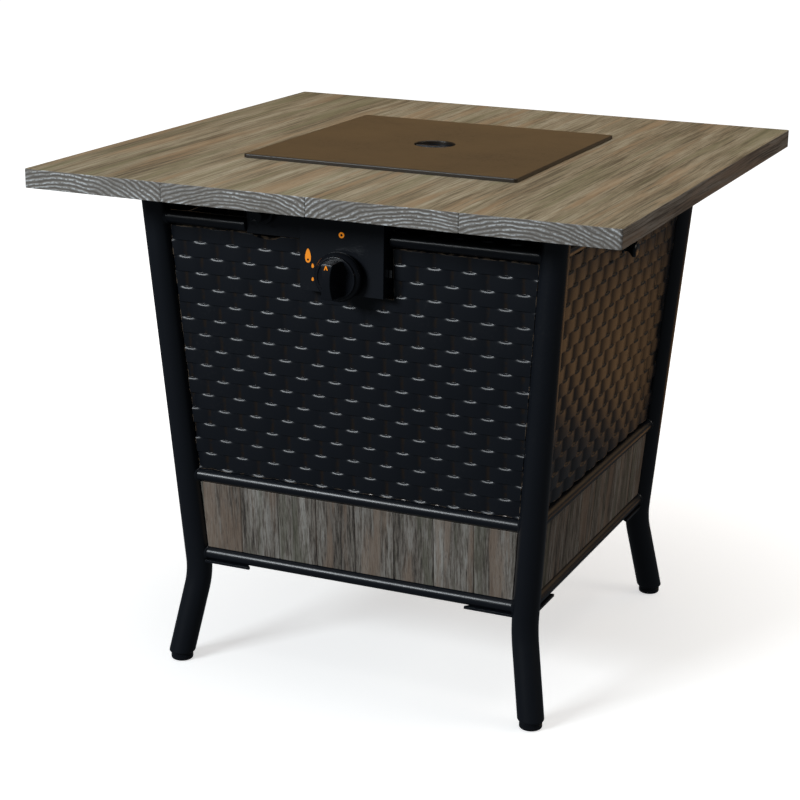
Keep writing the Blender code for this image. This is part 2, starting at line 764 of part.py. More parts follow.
def build_burner():
    """The ring burner with its cross tube and inlet nipple, in one welded piece."""
    bpy.ops.mesh.primitive_torus_add(
        major_radius=BURNER_RADIUS,
        minor_radius=BURNER_TUBE / 2,
        major_segments=32,
        minor_segments=10,
        location=(0, 0, BURNER_HEIGHT),
    )
    burner = bpy.context.object
    burner.name = "burner"
    burner.data.name = "burner"
    burner.data.materials.append(bare_steel())
    burner.data.shade_smooth()
    radius = BURNER_TUBE / 2 * 0.86
    rings = [
        [Vector((x, p.x, BURNER_HEIGHT + p.y)) for p in circle(radius, 0, 12)]
        for x in (-BURNER_RADIUS, BURNER_RADIUS)
    ]
    cut(burner, skin("cutter_cross_tube", rings, bare_steel()), "UNION")
    low = SEAT_OF_BOWL - BOWL_DEPTH - NIPPLE_LENGTH
    nipple = turned(
        "cutter_nipple",
        [(NIPPLE_DIAMETER / 2, low), (NIPPLE_DIAMETER / 2, BURNER_HEIGHT)],
        20,
        bare_steel(),
    )
    cut(burner, nipple, "UNION")


def build_gas_line():
    """The orifice under the burner and the rigid tube that feeds it from the valve."""
    top = SEAT_OF_BOWL - BOWL_DEPTH - NIPPLE_LENGTH - GAP
    radius = ORIFICE_DIAMETER / 2
    turned("gas_orifice", [(radius, top - ORIFICE_HEIGHT), (radius, top)], 20, brass())

    start = Vector((0, -(CONTROL_FACE - CONTROL_SHEET - GAP - VALVE_DEPTH - GAP), KNOB_AXIS))
    end = Vector((0, -(radius + GAP), min(SUPPLY_HEIGHT, top - SUPPLY_DIAMETER / 2)))
    low_bend = start + Vector((0, SUPPLY_START, 0))
    high_bend = Vector((0, low_bend.y + SUPPLY_SLANT * (end.z - start.z), end.z))
    corners = [start, low_bend, high_bend, end]
    points = [start]
    for before, here, after in zip(corners, corners[1:], corners[2:]):
        first = here + (before - here).normalized() * SUPPLY_BEND
        last = here + (after - here).normalized() * SUPPLY_BEND
        for step in range(SUPPLY_BEND_STEPS):
            share = step / (SUPPLY_BEND_STEPS - 1)
            points.append(first.lerp(here, share).lerp(here.lerp(last, share), share))
    points.append(end)
    curve = bpy.data.curves.new("gas_supply_tube", "CURVE")
    curve.dimensions = "3D"
    curve.bevel_depth = SUPPLY_DIAMETER / 2
    curve.bevel_resolution = 3
    curve.use_fill_caps = True
    spline = curve.splines.new("POLY")
    spline.points.add(len(points) - 1)
    for slot, point in zip(spline.points, points):
        slot.co = (*point, 1)
    curve.materials.append(bare_steel())
    tube = bpy.data.objects.new("gas_supply_tube", curve)
    bpy.context.scene.collection.objects.link(tube)


def build_electrode():
    """The ceramic spark electrode beside the burner ring."""
    radius = ELECTRODE_DIAMETER / 2
    low = BOWL_FLOOR_TOP + GAP
    high = GRATE_BOTTOM - ELECTRODE_CLEARANCE
    profile = [
        (radius, low),
        (radius, low + 0.6 * (high - low)),
        (ELECTRODE_TIP / 2, low + 0.7 * (high - low)),
        (ELECTRODE_TIP / 2, high),
    ]
    spot = Matrix.Translation((0, ELECTRODE_REACH, 0))
    turned("spark_electrode", profile, 16, ceramic(), matrix=spot)


def build_grate():
    """A slotted steel grate wedged in the bowl's tapered walls, over the burner."""
    half = bowl_half_inside(GRATE_BOTTOM) - 2 * GAP
    loops = [rounded_loop(half, half, BOWL_CORNER, level) for level in (GRATE_BOTTOM, GRATE_TOP)]
    grate = skin("grate", loops, black_steel())
    inside = 2 * (half - 2 * GRATE_BAR)
    slot = (inside - (GRATE_SLOTS - 1) * GRATE_BAR) / GRATE_SLOTS
    length = (inside - (GRATE_SLOT_ROWS - 1) * GRATE_BAR) / GRATE_SLOT_ROWS
    work = bmesh.new()
    for column in range(GRATE_SLOTS):
        for row in range(GRATE_SLOT_ROWS):
            x = -inside / 2 + column * (slot + GRATE_BAR)
            y = -inside / 2 + row * (length + GRATE_BAR)
            centre = Matrix.Translation((x + slot / 2, y + length / 2, (GRATE_BOTTOM + GRATE_TOP) / 2))
            size = Matrix.Diagonal((slot, length, 3 * GRATE_THICKNESS, 1))
            bmesh.ops.create_cube(work, size=1, matrix=centre @ size)
    cut(grate, place("cutter_grate_slots", work, None))


def build_rocks():
    """The bed of lava rock on the grate, as one low mound."""
    low = GRATE_TOP + GAP
    base = bowl_half_inside(low) - ROCK_MARGIN
    steps = ((1.0, 0.0), (1.0, 0.45), (0.93, 0.80), (0.80, 1.0))
    loops = [
        rounded_loop(base * share, base * share, BOWL_CORNER, low + ROCK_HEIGHT * rise)
        for share, rise in steps
    ]
    skin("lava_rocks", loops, lava())


# ---------------------------------------------------------------- controls

def build_control_panel():
    """A folded box that stands proud of the wicker, with a wing for the igniter on its left."""
    half = CONTROL_WIDTH / 2
    low = CONTROL_TOP - CONTROL_HEIGHT
    back = CONTROL_FACE - CONTROL_DEPTH
    sheet = CONTROL_SHEET
    outer = [(-half, low), (half, low), (half, CONTROL_TOP), (-half, CONTROL_TOP)]
    inner = [
        (-half + sheet, low + sheet),
        (half - sheet, low + sheet),
        (half - sheet, CONTROL_TOP - sheet),
        (-half + sheet, CONTROL_TOP - sheet),
    ]
    levels = ((outer, CONTROL_FACE), (outer, back), (inner, back), (inner, CONTROL_FACE - sheet))
    loops = [[Vector((x, -y, z)) for x, z in outline] for outline, y in levels]
    panel = skin("control_panel", loops, black_steel())
    panel_edge = (up_slope(TOP_RAIL_HEIGHT) - RAIL_RADIUS - PANEL_TOP_GAP) * math.cos(LEAN)
    wing = box(
        "cutter_wing",
        (-WING_REACH, -WING_FACE, panel_edge + WING_GAP),
        (-half + sheet / 2, -WING_FACE + sheet, CONTROL_TOP),
        black_steel(),
    )
    cut(panel, wing, "UNION")
    holes = (("stem", STEM_HOLE, KNOB_AXIS, 0.0), ("igniter", IGNITER_HOLE, IGNITER_AXIS, -IGNITER_SIDE))
    for name, diameter, height, side in holes:
        drill = turned(
            f"cutter_{name}_hole",
            [(diameter / 2, -CONTROL_DEPTH), (diameter / 2, CONTROL_DEPTH)],
            28,
            None,
            matrix=facing_front(CONTROL_FACE, height, side),
        )
        cut(panel, drill)


def build_clip():
    """The small bent clip that ties the control box to the wicker's cut edge."""
    left = CONTROL_WIDTH / 2 + GAP
    right = left + CONTROL_SLOT - 2 * GAP
    front = -(reach_at(KNOB_AXIS) + PANEL_FACE + CLIP_WIDTH / 2)
    outline = [
        (left, front),
        (right, front),
        (right, front + CLIP_SHEET),
        (left + CLIP_SHEET, front + CLIP_SHEET),
        (left + CLIP_SHEET, front + CLIP_WIDTH),
        (left, front + CLIP_WIDTH),
    ]
    prism("panel_clip", outline, KNOB_AXIS, KNOB_AXIS + CLIP_HEIGHT, bare_steel())


def build_valve():
    """The gas control valve behind the panel, with its inlet fitting pointing down."""
    front = CONTROL_FACE - CONTROL_SHEET - GAP
    half = VALVE_WIDTH / 2
    edge = VALVE_EDGE
    outline = [
        (-half + edge, -half),
        (half - edge, -half),
        (half, -half + edge),
        (half, half - edge),
        (half - edge, half),
        (-half + edge, half),
        (-half, half - edge),
        (-half, -half + edge),
    ]
    frame = facing_front(front, KNOB_AXIS)
    valve = prism("control_valve", outline, -VALVE_DEPTH, 0, brass(), matrix=frame)
    depth = STEM_IN_VALVE + KNOB_TRAVEL + STEM_END_CLEARANCE
    bore = turned(
        "cutter_valve_bore",
        [(STEM_DIAMETER / 2 + STEM_CLEARANCE, -depth), (STEM_DIAMETER / 2 + STEM_CLEARANCE, depth)],
        20,
        None,
        matrix=frame,
    )
    cut(valve, bore)
    top = KNOB_AXIS - half - GAP
    radius = INLET_DIAMETER / 2
    profile = [
        (radius * 0.72, top - INLET_LENGTH),
        (radius * 0.72, top - INLET_LENGTH * 0.45),
        (radius, top - INLET_LENGTH * 0.45),
        (radius, top),
    ]
    spot = Matrix.Translation((0, -(front - VALVE_DEPTH + radius + GAP), 0))
    turned("gas_inlet", profile, 16, brass(), matrix=spot)


def build_knob():
    """The valve stem, the return spring's washer and the knob with its grip bar."""
    back = CONTROL_FACE - CONTROL_SHEET - GAP - STEM_IN_VALVE
    radius = STEM_DIAMETER / 2
    frame = facing_front(back, KNOB_AXIS)
    stem = turned("valve_stem", [(radius, 0), (radius, STEM_LENGTH)], 20, bare_steel(), matrix=frame)

    frame = facing_front(KNOB_BACK - GAP - WASHER_THICKNESS, KNOB_AXIS)
    inner = radius + STEM_CLEARANCE
    outer = WASHER_DIAMETER / 2
    profile = [(inner, 0), (outer, 0), (outer, WASHER_THICKNESS), (inner, WASHER_THICKNESS)]
    turned("spring_washer", profile, 24, bare_steel(), joined=True, matrix=frame)

    frame = facing_front(KNOB_BACK, KNOB_AXIS)
    skirt = KNOB_SKIRT_DIAMETER / 2
    face = KNOB_FACE_DIAMETER / 2
    profile = [
        (skirt * 0.97, 0),
        (skirt, KNOB_SKIRT_DEPTH * 0.15),
        (skirt, KNOB_SKIRT_DEPTH * 0.55),
        (face * 1.08, KNOB_SKIRT_DEPTH * 0.95),
        (face, KNOB_SKIRT_DEPTH),
    ]
    knob = turned("control_knob", profile, 40, black_plastic(), matrix=frame)
    half_w = KNOB_GRIP_WIDTH / 2
    half_l = KNOB_GRIP_LENGTH / 2
    loops = [
        rounded_loop(half_w, half_l, half_w * 0.4, KNOB_SKIRT_DEPTH * 0.5),
        rounded_loop(half_w, half_l, half_w * 0.4, KNOB_SKIRT_DEPTH + KNOB_GRIP_DEPTH * 0.92),
        rounded_loop(half_w * 0.85, half_l * 0.95, half_w * 0.3, KNOB_SKIRT_DEPTH + KNOB_GRIP_DEPTH),
    ]
    cut(knob, skin("cutter_grip", loops, black_plastic(), matrix=frame), "UNION")
    depth = back + STEM_LENGTH - KNOB_BACK + GAP
    bore = turned("cutter_knob_bore", [(inner, -depth), (inner, depth)], 20, None, matrix=frame)
    cut(knob, bore)
    hang("knob_pivot", frame, (knob, stem))


def build_igniter():
    """The push-button igniter: its body through the wing, and its button."""
    frame = facing_front(WING_FACE + GAP, IGNITER_AXIS, -IGNITER_SIDE)
    neck = IGNITER_HOLE / 2 - GAP
    body = IGNITER_BODY / 2
    collar = IGNITER_COLLAR / 2
    bore = BUTTON_STEM / 2 + GAP
    behind = -(CONTROL_SHEET + 2 * GAP)
    floor = IGNITER_COLLAR_DEPTH - BUTTON_STEM_DEPTH - BUTTON_TRAVEL - 2 * GAP
    profile = [
        (body * 0.8, behind - IGNITER_BODY_LENGTH),
        (body, behind - IGNITER_BODY_LENGTH + COLLAR_EDGE),
        (body, behind),
        (neck, behind),
        (neck, 0),
        (collar, 0),
        (collar, IGNITER_COLLAR_DEPTH - COLLAR_EDGE),
        (collar - COLLAR_EDGE, IGNITER_COLLAR_DEPTH),
        (bore, IGNITER_COLLAR_DEPTH),
        (bore, floor),
    ]
    turned("igniter_body", profile, 28, black_plastic(), matrix=frame)
    stem = BUTTON_STEM / 2
    cap = BUTTON_CAP / 2
    start = IGNITER_COLLAR_DEPTH - BUTTON_STEM_DEPTH
    shoulder = IGNITER_COLLAR_DEPTH + BUTTON_TRAVEL + 2 * GAP
    profile = [
        (stem, start),
        (stem, shoulder),
        (cap, shoulder),
        (cap, shoulder + BUTTON_CAP_DEPTH - BUTTON_EDGE),
        (cap - BUTTON_EDGE, shoulder + BUTTON_CAP_DEPTH),
    ]
    turned("igniter_button", profile, 28, black_plastic(), matrix=frame)


# ---------------------------------------------------------------- access door

def build_door():
    """The drop-down door: the right wicker panel on two pins, with a knob and a magnet catch."""
    door, bottom, top = pan("access_door", "right", DOOR_BOTTOM_GAP, PANEL_TOP_GAP)
    frame = side_frame("right")
    slope = bottom + HINGE_RISE
    reach = reach_at(slope * math.cos(LEAN))
    bore = PIN_DIAMETER / 2 + GAP
    rings = [
        [Vector((x, slope + p.x, HINGE_SET_BACK + p.y)) for p in circle(bore, 0, 16)]
        for x in (-reach, reach)
    ]
    cut(door, skin("cutter_hinge_line", rings, None, matrix=frame))

    shallow = abs(HINGE_SET_BACK) - PIN_DIAMETER / 2
    outer = reach - math.sqrt(LEG_RADIUS ** 2 - shallow ** 2) / math.cos(EDGE_LEAN) - GAP
    for name, sign in (("front", -1), ("back", 1)):
        rings = [
            [Vector((x, slope + p.x, HINGE_SET_BACK + p.y)) for p in circle(PIN_DIAMETER / 2, 0, 16)]
            for x in (sign * (outer - PIN_LENGTH), sign * outer)
        ]
        skin("hinge_pin_" + name, rings, bare_steel(), matrix=frame, round_piece=True)

    neck = DOOR_KNOB_NECK / 2
    head = DOOR_KNOB_HEAD / 2
    profile = [
        (head * 0.75, 0),
        (head * 0.75, DOOR_KNOB_FOOT / 2),
        (neck, DOOR_KNOB_FOOT),
        (neck, DOOR_KNOB_REACH * 0.45),
        (head, DOOR_KNOB_REACH * 0.72),
        (head, DOOR_KNOB_REACH * 0.90),
        (head * 0.8, DOOR_KNOB_REACH),
    ]
    spot = frame @ Matrix.Translation((0, top - DOOR_KNOB_DROP, PANEL_FACE + GAP))
    knob = turned("door_knob", profile, 24, black_plastic(), matrix=spot)
    hang("door_pivot", frame @ Matrix.Translation((0, slope, HINGE_SET_BACK)), (door, knob))

    slope = up_slope(TOP_RAIL_HEIGHT)
    behind_door = PANEL_BACK - CATCH_GAP
    behind_rail = -RAIL_RADIUS - GAP
    deepest = behind_door - CATCH_DEPTH
    low = slope - CATCH_DROP
    shelf = slope - RAIL_RADIUS
    high = slope + RAIL_RADIUS * 0.6
    outline = [
        (deepest, low),
        (behind_door, low),
        (behind_door, shelf),
        (behind_rail, shelf + behind_rail - behind_door),
        (behind_rail, high),
        (deepest, high),
    ]
    loops = [[Vector((x, y, z)) for z, y in outline] for x in (-CATCH_WIDTH / 2, CATCH_WIDTH / 2)]
    skin("door_catch", loops, black_plastic(), matrix=frame)


def main():
    """Clear the scene and build every piece."""
    for piece in list(bpy.data.objects):
        bpy.data.objects.remove(piece, do_unlink=True)
    cutters = leg_cutters()
    build_legs()
    build_foot_caps()
    build_rails(cutters)
    build_panels()
    build_skirts()
    build_gussets(cutters)
    build_tabletop()
    build_frame_plate()
    build_bowl()
    build_lid()
    build_burner()
    build_gas_line()
    build_electrode()
    build_grate()
    build_rocks()
    build_control_panel()
    build_clip()
    build_valve()
    build_knob()
    build_igniter()
    build_door()


main()
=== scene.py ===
"""Looks of a square gas fire-pit table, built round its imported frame.

The frame gives the places, the bodies and the joints. The classes below model the pieces that show and give
every piece its finish: powder-coated tube and pressed wicker, weathered wood, plastic, brass and lava rock.
"""

import json
import logging
import math
import random
from contextlib import contextmanager
from dataclasses import dataclass, field
from enum import Enum
from typing import Callable, Iterator, Sequence

import bmesh
import bpy
from mathutils import Matrix, Vector, noise


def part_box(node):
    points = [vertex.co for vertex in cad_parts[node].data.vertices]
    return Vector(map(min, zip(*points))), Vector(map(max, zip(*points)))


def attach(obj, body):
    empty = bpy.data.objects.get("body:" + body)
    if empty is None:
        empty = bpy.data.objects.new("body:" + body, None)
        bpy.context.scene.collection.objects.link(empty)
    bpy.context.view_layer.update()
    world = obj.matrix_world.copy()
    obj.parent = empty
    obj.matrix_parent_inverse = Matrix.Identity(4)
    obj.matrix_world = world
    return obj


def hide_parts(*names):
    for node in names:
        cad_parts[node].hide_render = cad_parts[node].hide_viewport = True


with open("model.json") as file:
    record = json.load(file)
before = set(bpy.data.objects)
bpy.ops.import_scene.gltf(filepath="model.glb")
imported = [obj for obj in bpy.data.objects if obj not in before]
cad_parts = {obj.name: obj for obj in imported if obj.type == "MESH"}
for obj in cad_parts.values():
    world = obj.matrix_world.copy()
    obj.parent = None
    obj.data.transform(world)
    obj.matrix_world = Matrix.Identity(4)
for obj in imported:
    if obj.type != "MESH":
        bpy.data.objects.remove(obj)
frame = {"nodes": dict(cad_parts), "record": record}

LOG = logging.getLogger("fire_pit")
MM = 0.001
CLEAR = 10 * MM
MERGE = 0.01 * MM
GOLDEN = 0.61803
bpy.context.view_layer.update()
Point = tuple[float, float, float]
Colour = tuple[float, float, float]


class Side(Enum):
    """The four sides, by how many quarter turns they stand from the front."""

    FRONT = 0
    RIGHT = 1
    BACK = 2
    LEFT = 3

    @property
    def turn(self) -> Matrix:
        """The turn about the table's centre that brings the front to this side."""
        return Matrix.Rotation(self.value * math.pi / 2, 4, "Z")

    @property
    def label(self) -> str:
        """The side's name, as the nodes spell it."""
        return self.name.lower()


class Grain(Enum):
    """Which cut of the wood a face shows."""

    FLAT = "flat"
    END = "end"
    EDGE = "edge"


# ---------------------------------------------------------------- shader maths


class Field:
    """A number that varies over a surface, with arithmetic that adds Math nodes."""

    def __init__(self, recipe: "Recipe", socket: bpy.types.NodeSocket) -> None:
        """Wrap a socket.

        Args:
            recipe: the node tree that the socket is in.
            socket: an output socket that carries a number.
        """
        self.recipe = recipe
        self.socket = socket

    def _math(self, operation: str, first: "Field | float", second: "Field | float") -> "Field":
        """Add one Math node.

        Args:
            operation: the Math node's operation.
            first: its first value.
            second: its second value.

        Returns:
            The node's result.
        """
        made = self.recipe.node("ShaderNodeMath", {"operation": operation}, {0: first, 1: second})
        return Field(self.recipe, made.outputs[0])

    def __add__(self, other: "Field | float") -> "Field":
        """Sum."""
        return self._math("ADD", self, other)

    def __radd__(self, other: float) -> "Field":
        """Sum, reflected."""
        return self._math("ADD", other, self)

    def __sub__(self, other: "Field | float") -> "Field":
        """Difference."""
        return self._math("SUBTRACT", self, other)

    def __rsub__(self, other: float) -> "Field":
        """Difference, reflected."""
        return self._math("SUBTRACT", other, self)

    def __mul__(self, other: "Field | float") -> "Field":
        """Product."""
        return self._math("MULTIPLY", self, other)

    def __rmul__(self, other: float) -> "Field":
        """Product, reflected."""
        return self._math("MULTIPLY", other, self)

    def __truediv__(self, other: "Field | float") -> "Field":
        """Quotient."""
        return self._math("DIVIDE", self, other)

    def __rtruediv__(self, other: float) -> "Field":
        """Quotient, reflected."""
        return self._math("DIVIDE", other, self)

    def floor(self) -> "Field":
        """The whole number below."""
        return self._math("FLOOR", self, 0.0)

    def fraction(self) -> "Field":
        """The part after the point."""
        return self._math("FRACT", self, 0.0)

    def wave(self) -> "Field":
        """The sine."""
        return self._math("SINE", self, 0.0)

    def root(self) -> "Field":
        """The square root."""
        return self._math("SQRT", self, 0.0)

    def between(self, low: float, high: float) -> "Field":
        """A smooth step from 0 at one value to 1 at another.

        Args:
            low: the value that gives 0.
            high: the value that gives 1.

        Returns:
            The stepped field.
        """
        settings = {"interpolation_type": "SMOOTHSTEP"}
        sockets = {"Value": self, "From Min": low, "From Max": high}
        made = self.recipe.node("ShaderNodeMapRange", settings, sockets)
        return Field(self.recipe, made.outputs["Result"])


class Recipe:
    """The node tree of one material, with one call for each kind of node."""

    def __init__(self, name: str, colour: Colour, roughness: float, metallic: float = 0.0) -> None:
        """Make the material and set its constants on the shader's own sockets.

        Args:
            name: the material's name.
            colour: the base colour.
            roughness: the base roughness.
            metallic: 1 for bare metal, 0 for anything else.
        """
        self.material = bpy.data.materials.new(name)
        self.material.use_nodes = True
        self.tree = self.material.node_tree
        self.shader = self.tree.nodes["Principled BSDF"]
        self.shader.inputs["Base Color"].default_value = (*colour, 1.0)
        self.shader.inputs["Roughness"].default_value = roughness
        self.shader.inputs["Metallic"].default_value = metallic

    def node(self, kind: str, settings: dict, sockets: dict) -> bpy.types.Node:
        """Add a node.

        Args:
            kind: the node's type.
            settings: its properties, set first; a ramp's stops are given as "stops".
            sockets: its input values or links, by name or number.

        Returns:
            The node.
        """
        made = self.tree.nodes.new(kind)
        for key, value in settings.items():
            if key == "stops":
                ramp = made.color_ramp
                while len(ramp.elements) < len(value):
                    ramp.elements.new(0.5)
                for element, (place, colour) in zip(ramp.elements, value):
                    element.position = place
                    element.color = (*colour, 1.0)
            else:
                setattr(made, key, value)
        for key, value in sockets.items():
            socket = made.inputs[key]
            if isinstance(value, Field):
                self.tree.links.new(value.socket, socket)
            elif isinstance(value, bpy.types.NodeSocket):
                self.tree.links.new(value, socket)
            else:
                socket.default_value = value
        return made

    def place(self, scale: Point = (1.0, 1.0, 1.0), move: Point = (0.0, 0.0, 0.0)) -> bpy.types.NodeSocket:
        """Object coordinates, stretched and moved.

        Args:
            scale: the factor on each axis.
            move: the shift on each axis, after the scaling.

        Returns:
            The coordinate's socket.
        """
        source = self.node("ShaderNodeTexCoord", {}, {}).outputs["Object"]
        made = self.node("ShaderNodeMapping", {}, {"Vector": source, "Scale": scale, "Location": move})
        return made.outputs[0]

    def axes(self) -> tuple[Field, Field, Field]:
        """The three object coordinates as numbers.

        Returns:
            Across, along and up, in the object's own frame.
        """
        source = self.node("ShaderNodeTexCoord", {}, {}).outputs["Object"]
        made = self.node("ShaderNodeSeparateXYZ", {}, {0: source})
        return tuple(Field(self, output) for output in made.outputs)

    def stored(self, name: str) -> Field:
        """A value that the mesh stores on its points.

        Args:
            name: the attribute's name.

        Returns:
            The value.
        """
        made = self.node("ShaderNodeAttribute", {"attribute_name": name}, {})
        return Field(self, made.outputs["Fac"])

    def joined(self, x: Field | float, y: Field | float, z: Field | float) -> bpy.types.NodeSocket:
        """A coordinate from three numbers."""
        return self.node("ShaderNodeCombineXYZ", {}, {0: x, 1: y, 2: z}).outputs[0]

    def cloud(
        self, vector: bpy.types.NodeSocket, scale: float, detail: float = 3.0, roughness: float = 0.5
    ) -> Field:
        """Noise from 0 to 1.

        Args:
            vector: the coordinate.
            scale: how many features there are in a unit.
            detail: how many octaves.
            roughness: how strong the finer octaves are.

        Returns:
            The noise.
        """
        sockets = {"Vector": vector, "Scale": scale, "Detail": detail, "Roughness": roughness}
        return Field(self, self.node("ShaderNodeTexNoise", {}, sockets).outputs[0])

    def ramp(self, value: Field, stops: Sequence[tuple[float, Colour]]) -> bpy.types.NodeSocket:
        """A colour from a number.

        Args:
            value: the number.
            stops: places and their colours.

        Returns:
            The colour's socket.
        """
        return self.node("ShaderNodeValToRGB", {"stops": list(stops)}, {0: value}).outputs[0]

    def mix(
        self,
        first: Colour | bpy.types.NodeSocket,
        second: Colour | bpy.types.NodeSocket,
        share: Field | float,
    ) -> bpy.types.NodeSocket:
        """Two colours mixed.

        Args:
            first: a colour or its socket.
            second: a colour or its socket.
            share: how much of the second.

        Returns:
            The colour's socket.
        """
        first = (*first, 1.0) if isinstance(first, tuple) else first
        second = (*second, 1.0) if isinstance(second, tuple) else second
        made = self.node("ShaderNodeMix", {"data_type": "RGBA"}, {0: share, 6: first, 7: second})
        return made.outputs[2]

    def bump(self, height: Field, depth: float, strength: float = 1.0) -> None:
        """Dent the surface by a field.

        Args:
            height: the field, from 0 to 1.
            depth: how deep 1 is, in metres.
            strength: the Bump node's strength.
        """
        made = self.node("ShaderNodeBump", {}, {"Height": height, "Distance": depth, "Strength": strength})
        self.tree.links.new(made.outputs[0], self.shader.inputs["Normal"])

    def feed(self, socket: str, value: Field | bpy.types.NodeSocket) -> None:
        """Link a field or a colour to one of the shader's sockets."""
        self.tree.links.new(value.socket if isinstance(value, Field) else value, self.shader.inputs[socket])


# ---------------------------------------------------------------- finishes


@dataclass(frozen=True)
class PowderCoat:
    """Sprayed satin coat on steel, with its orange peel and a little dust."""

    name: str = "powder_coat"
    colour: Colour = (0.0085, 0.0105, 0.0150)
    roughness: float = 0.30
    peel: float = 700.0
    peel_depth: float = 0.00006
    dust: Colour = (0.050, 0.045, 0.040)
    dust_share: float = 0.10

    def make(self) -> bpy.types.Material:
        """Build the material.

        Returns:
            The material.
        """
        recipe = Recipe(self.name, self.colour, self.roughness)
        broad = recipe.cloud(recipe.place(), 9.0, 4.0, 0.6)
        fine = recipe.cloud(recipe.place(), self.peel, 1.0)
        speck = recipe.cloud(recipe.place(), 260.0, 2.0, 0.6)
        dusty = broad.between(0.45, 0.75) * speck.between(0.5, 0.8) * self.dust_share
        recipe.feed("Base Color", self._aged(recipe, recipe.mix(self.colour, self.dust, dusty)))
        recipe.feed("Roughness", broad * 0.10 + (self.roughness - 0.05) + dusty)
        recipe.bump(fine, self.peel_depth)
        return recipe.material

    def _aged(self, recipe: Recipe, colour: bpy.types.NodeSocket) -> bpy.types.NodeSocket:
        """The coat's colour with its painted light added; a plain coat has none and keeps its own colour.

        Args:
            recipe: the material.
            colour: the coat's own colour.

        Returns:
            The colour with its painted light.
        """
        return colour


@dataclass(frozen=True)
class WovenCoat(PowderCoat):
    """The coat on pressed wicker, with painted light: a brown painted reflection where a strand dips, and a
    painted highlight along its border.
    """

    # Painted reflection: the brown tint put where a strand dips.
    dirt: Colour = (0.022, 0.014, 0.009)
    # Painted highlight: the pale colour put along the folded border.
    rubbed: Colour = (0.300, 0.220, 0.150)

    def _aged(self, recipe: Recipe, colour: bpy.types.NodeSocket) -> bpy.types.NodeSocket:
        """Add the brown painted reflection in the dips and the painted highlight along the border.

        Args:
            recipe: the material.
            colour: the coat's own colour.

        Returns:
            The aged colour.
        """
        patch = recipe.cloud(recipe.place(), 110.0, 3.0, 0.6)
        # Painted reflection: in patches, the coat turns brown where the weave dips.
        dips = recipe.stored("low").between(0.1, 1.0) * patch.between(0.35, 0.60)
        # Painted highlight: pale dashes along the folded border.
        edge = recipe.stored("border").between(0.60, 0.95) * patch.between(0.46, 0.56)
        return recipe.mix(recipe.mix(colour, self.dirt, dips), self.rubbed, edge * 0.8)


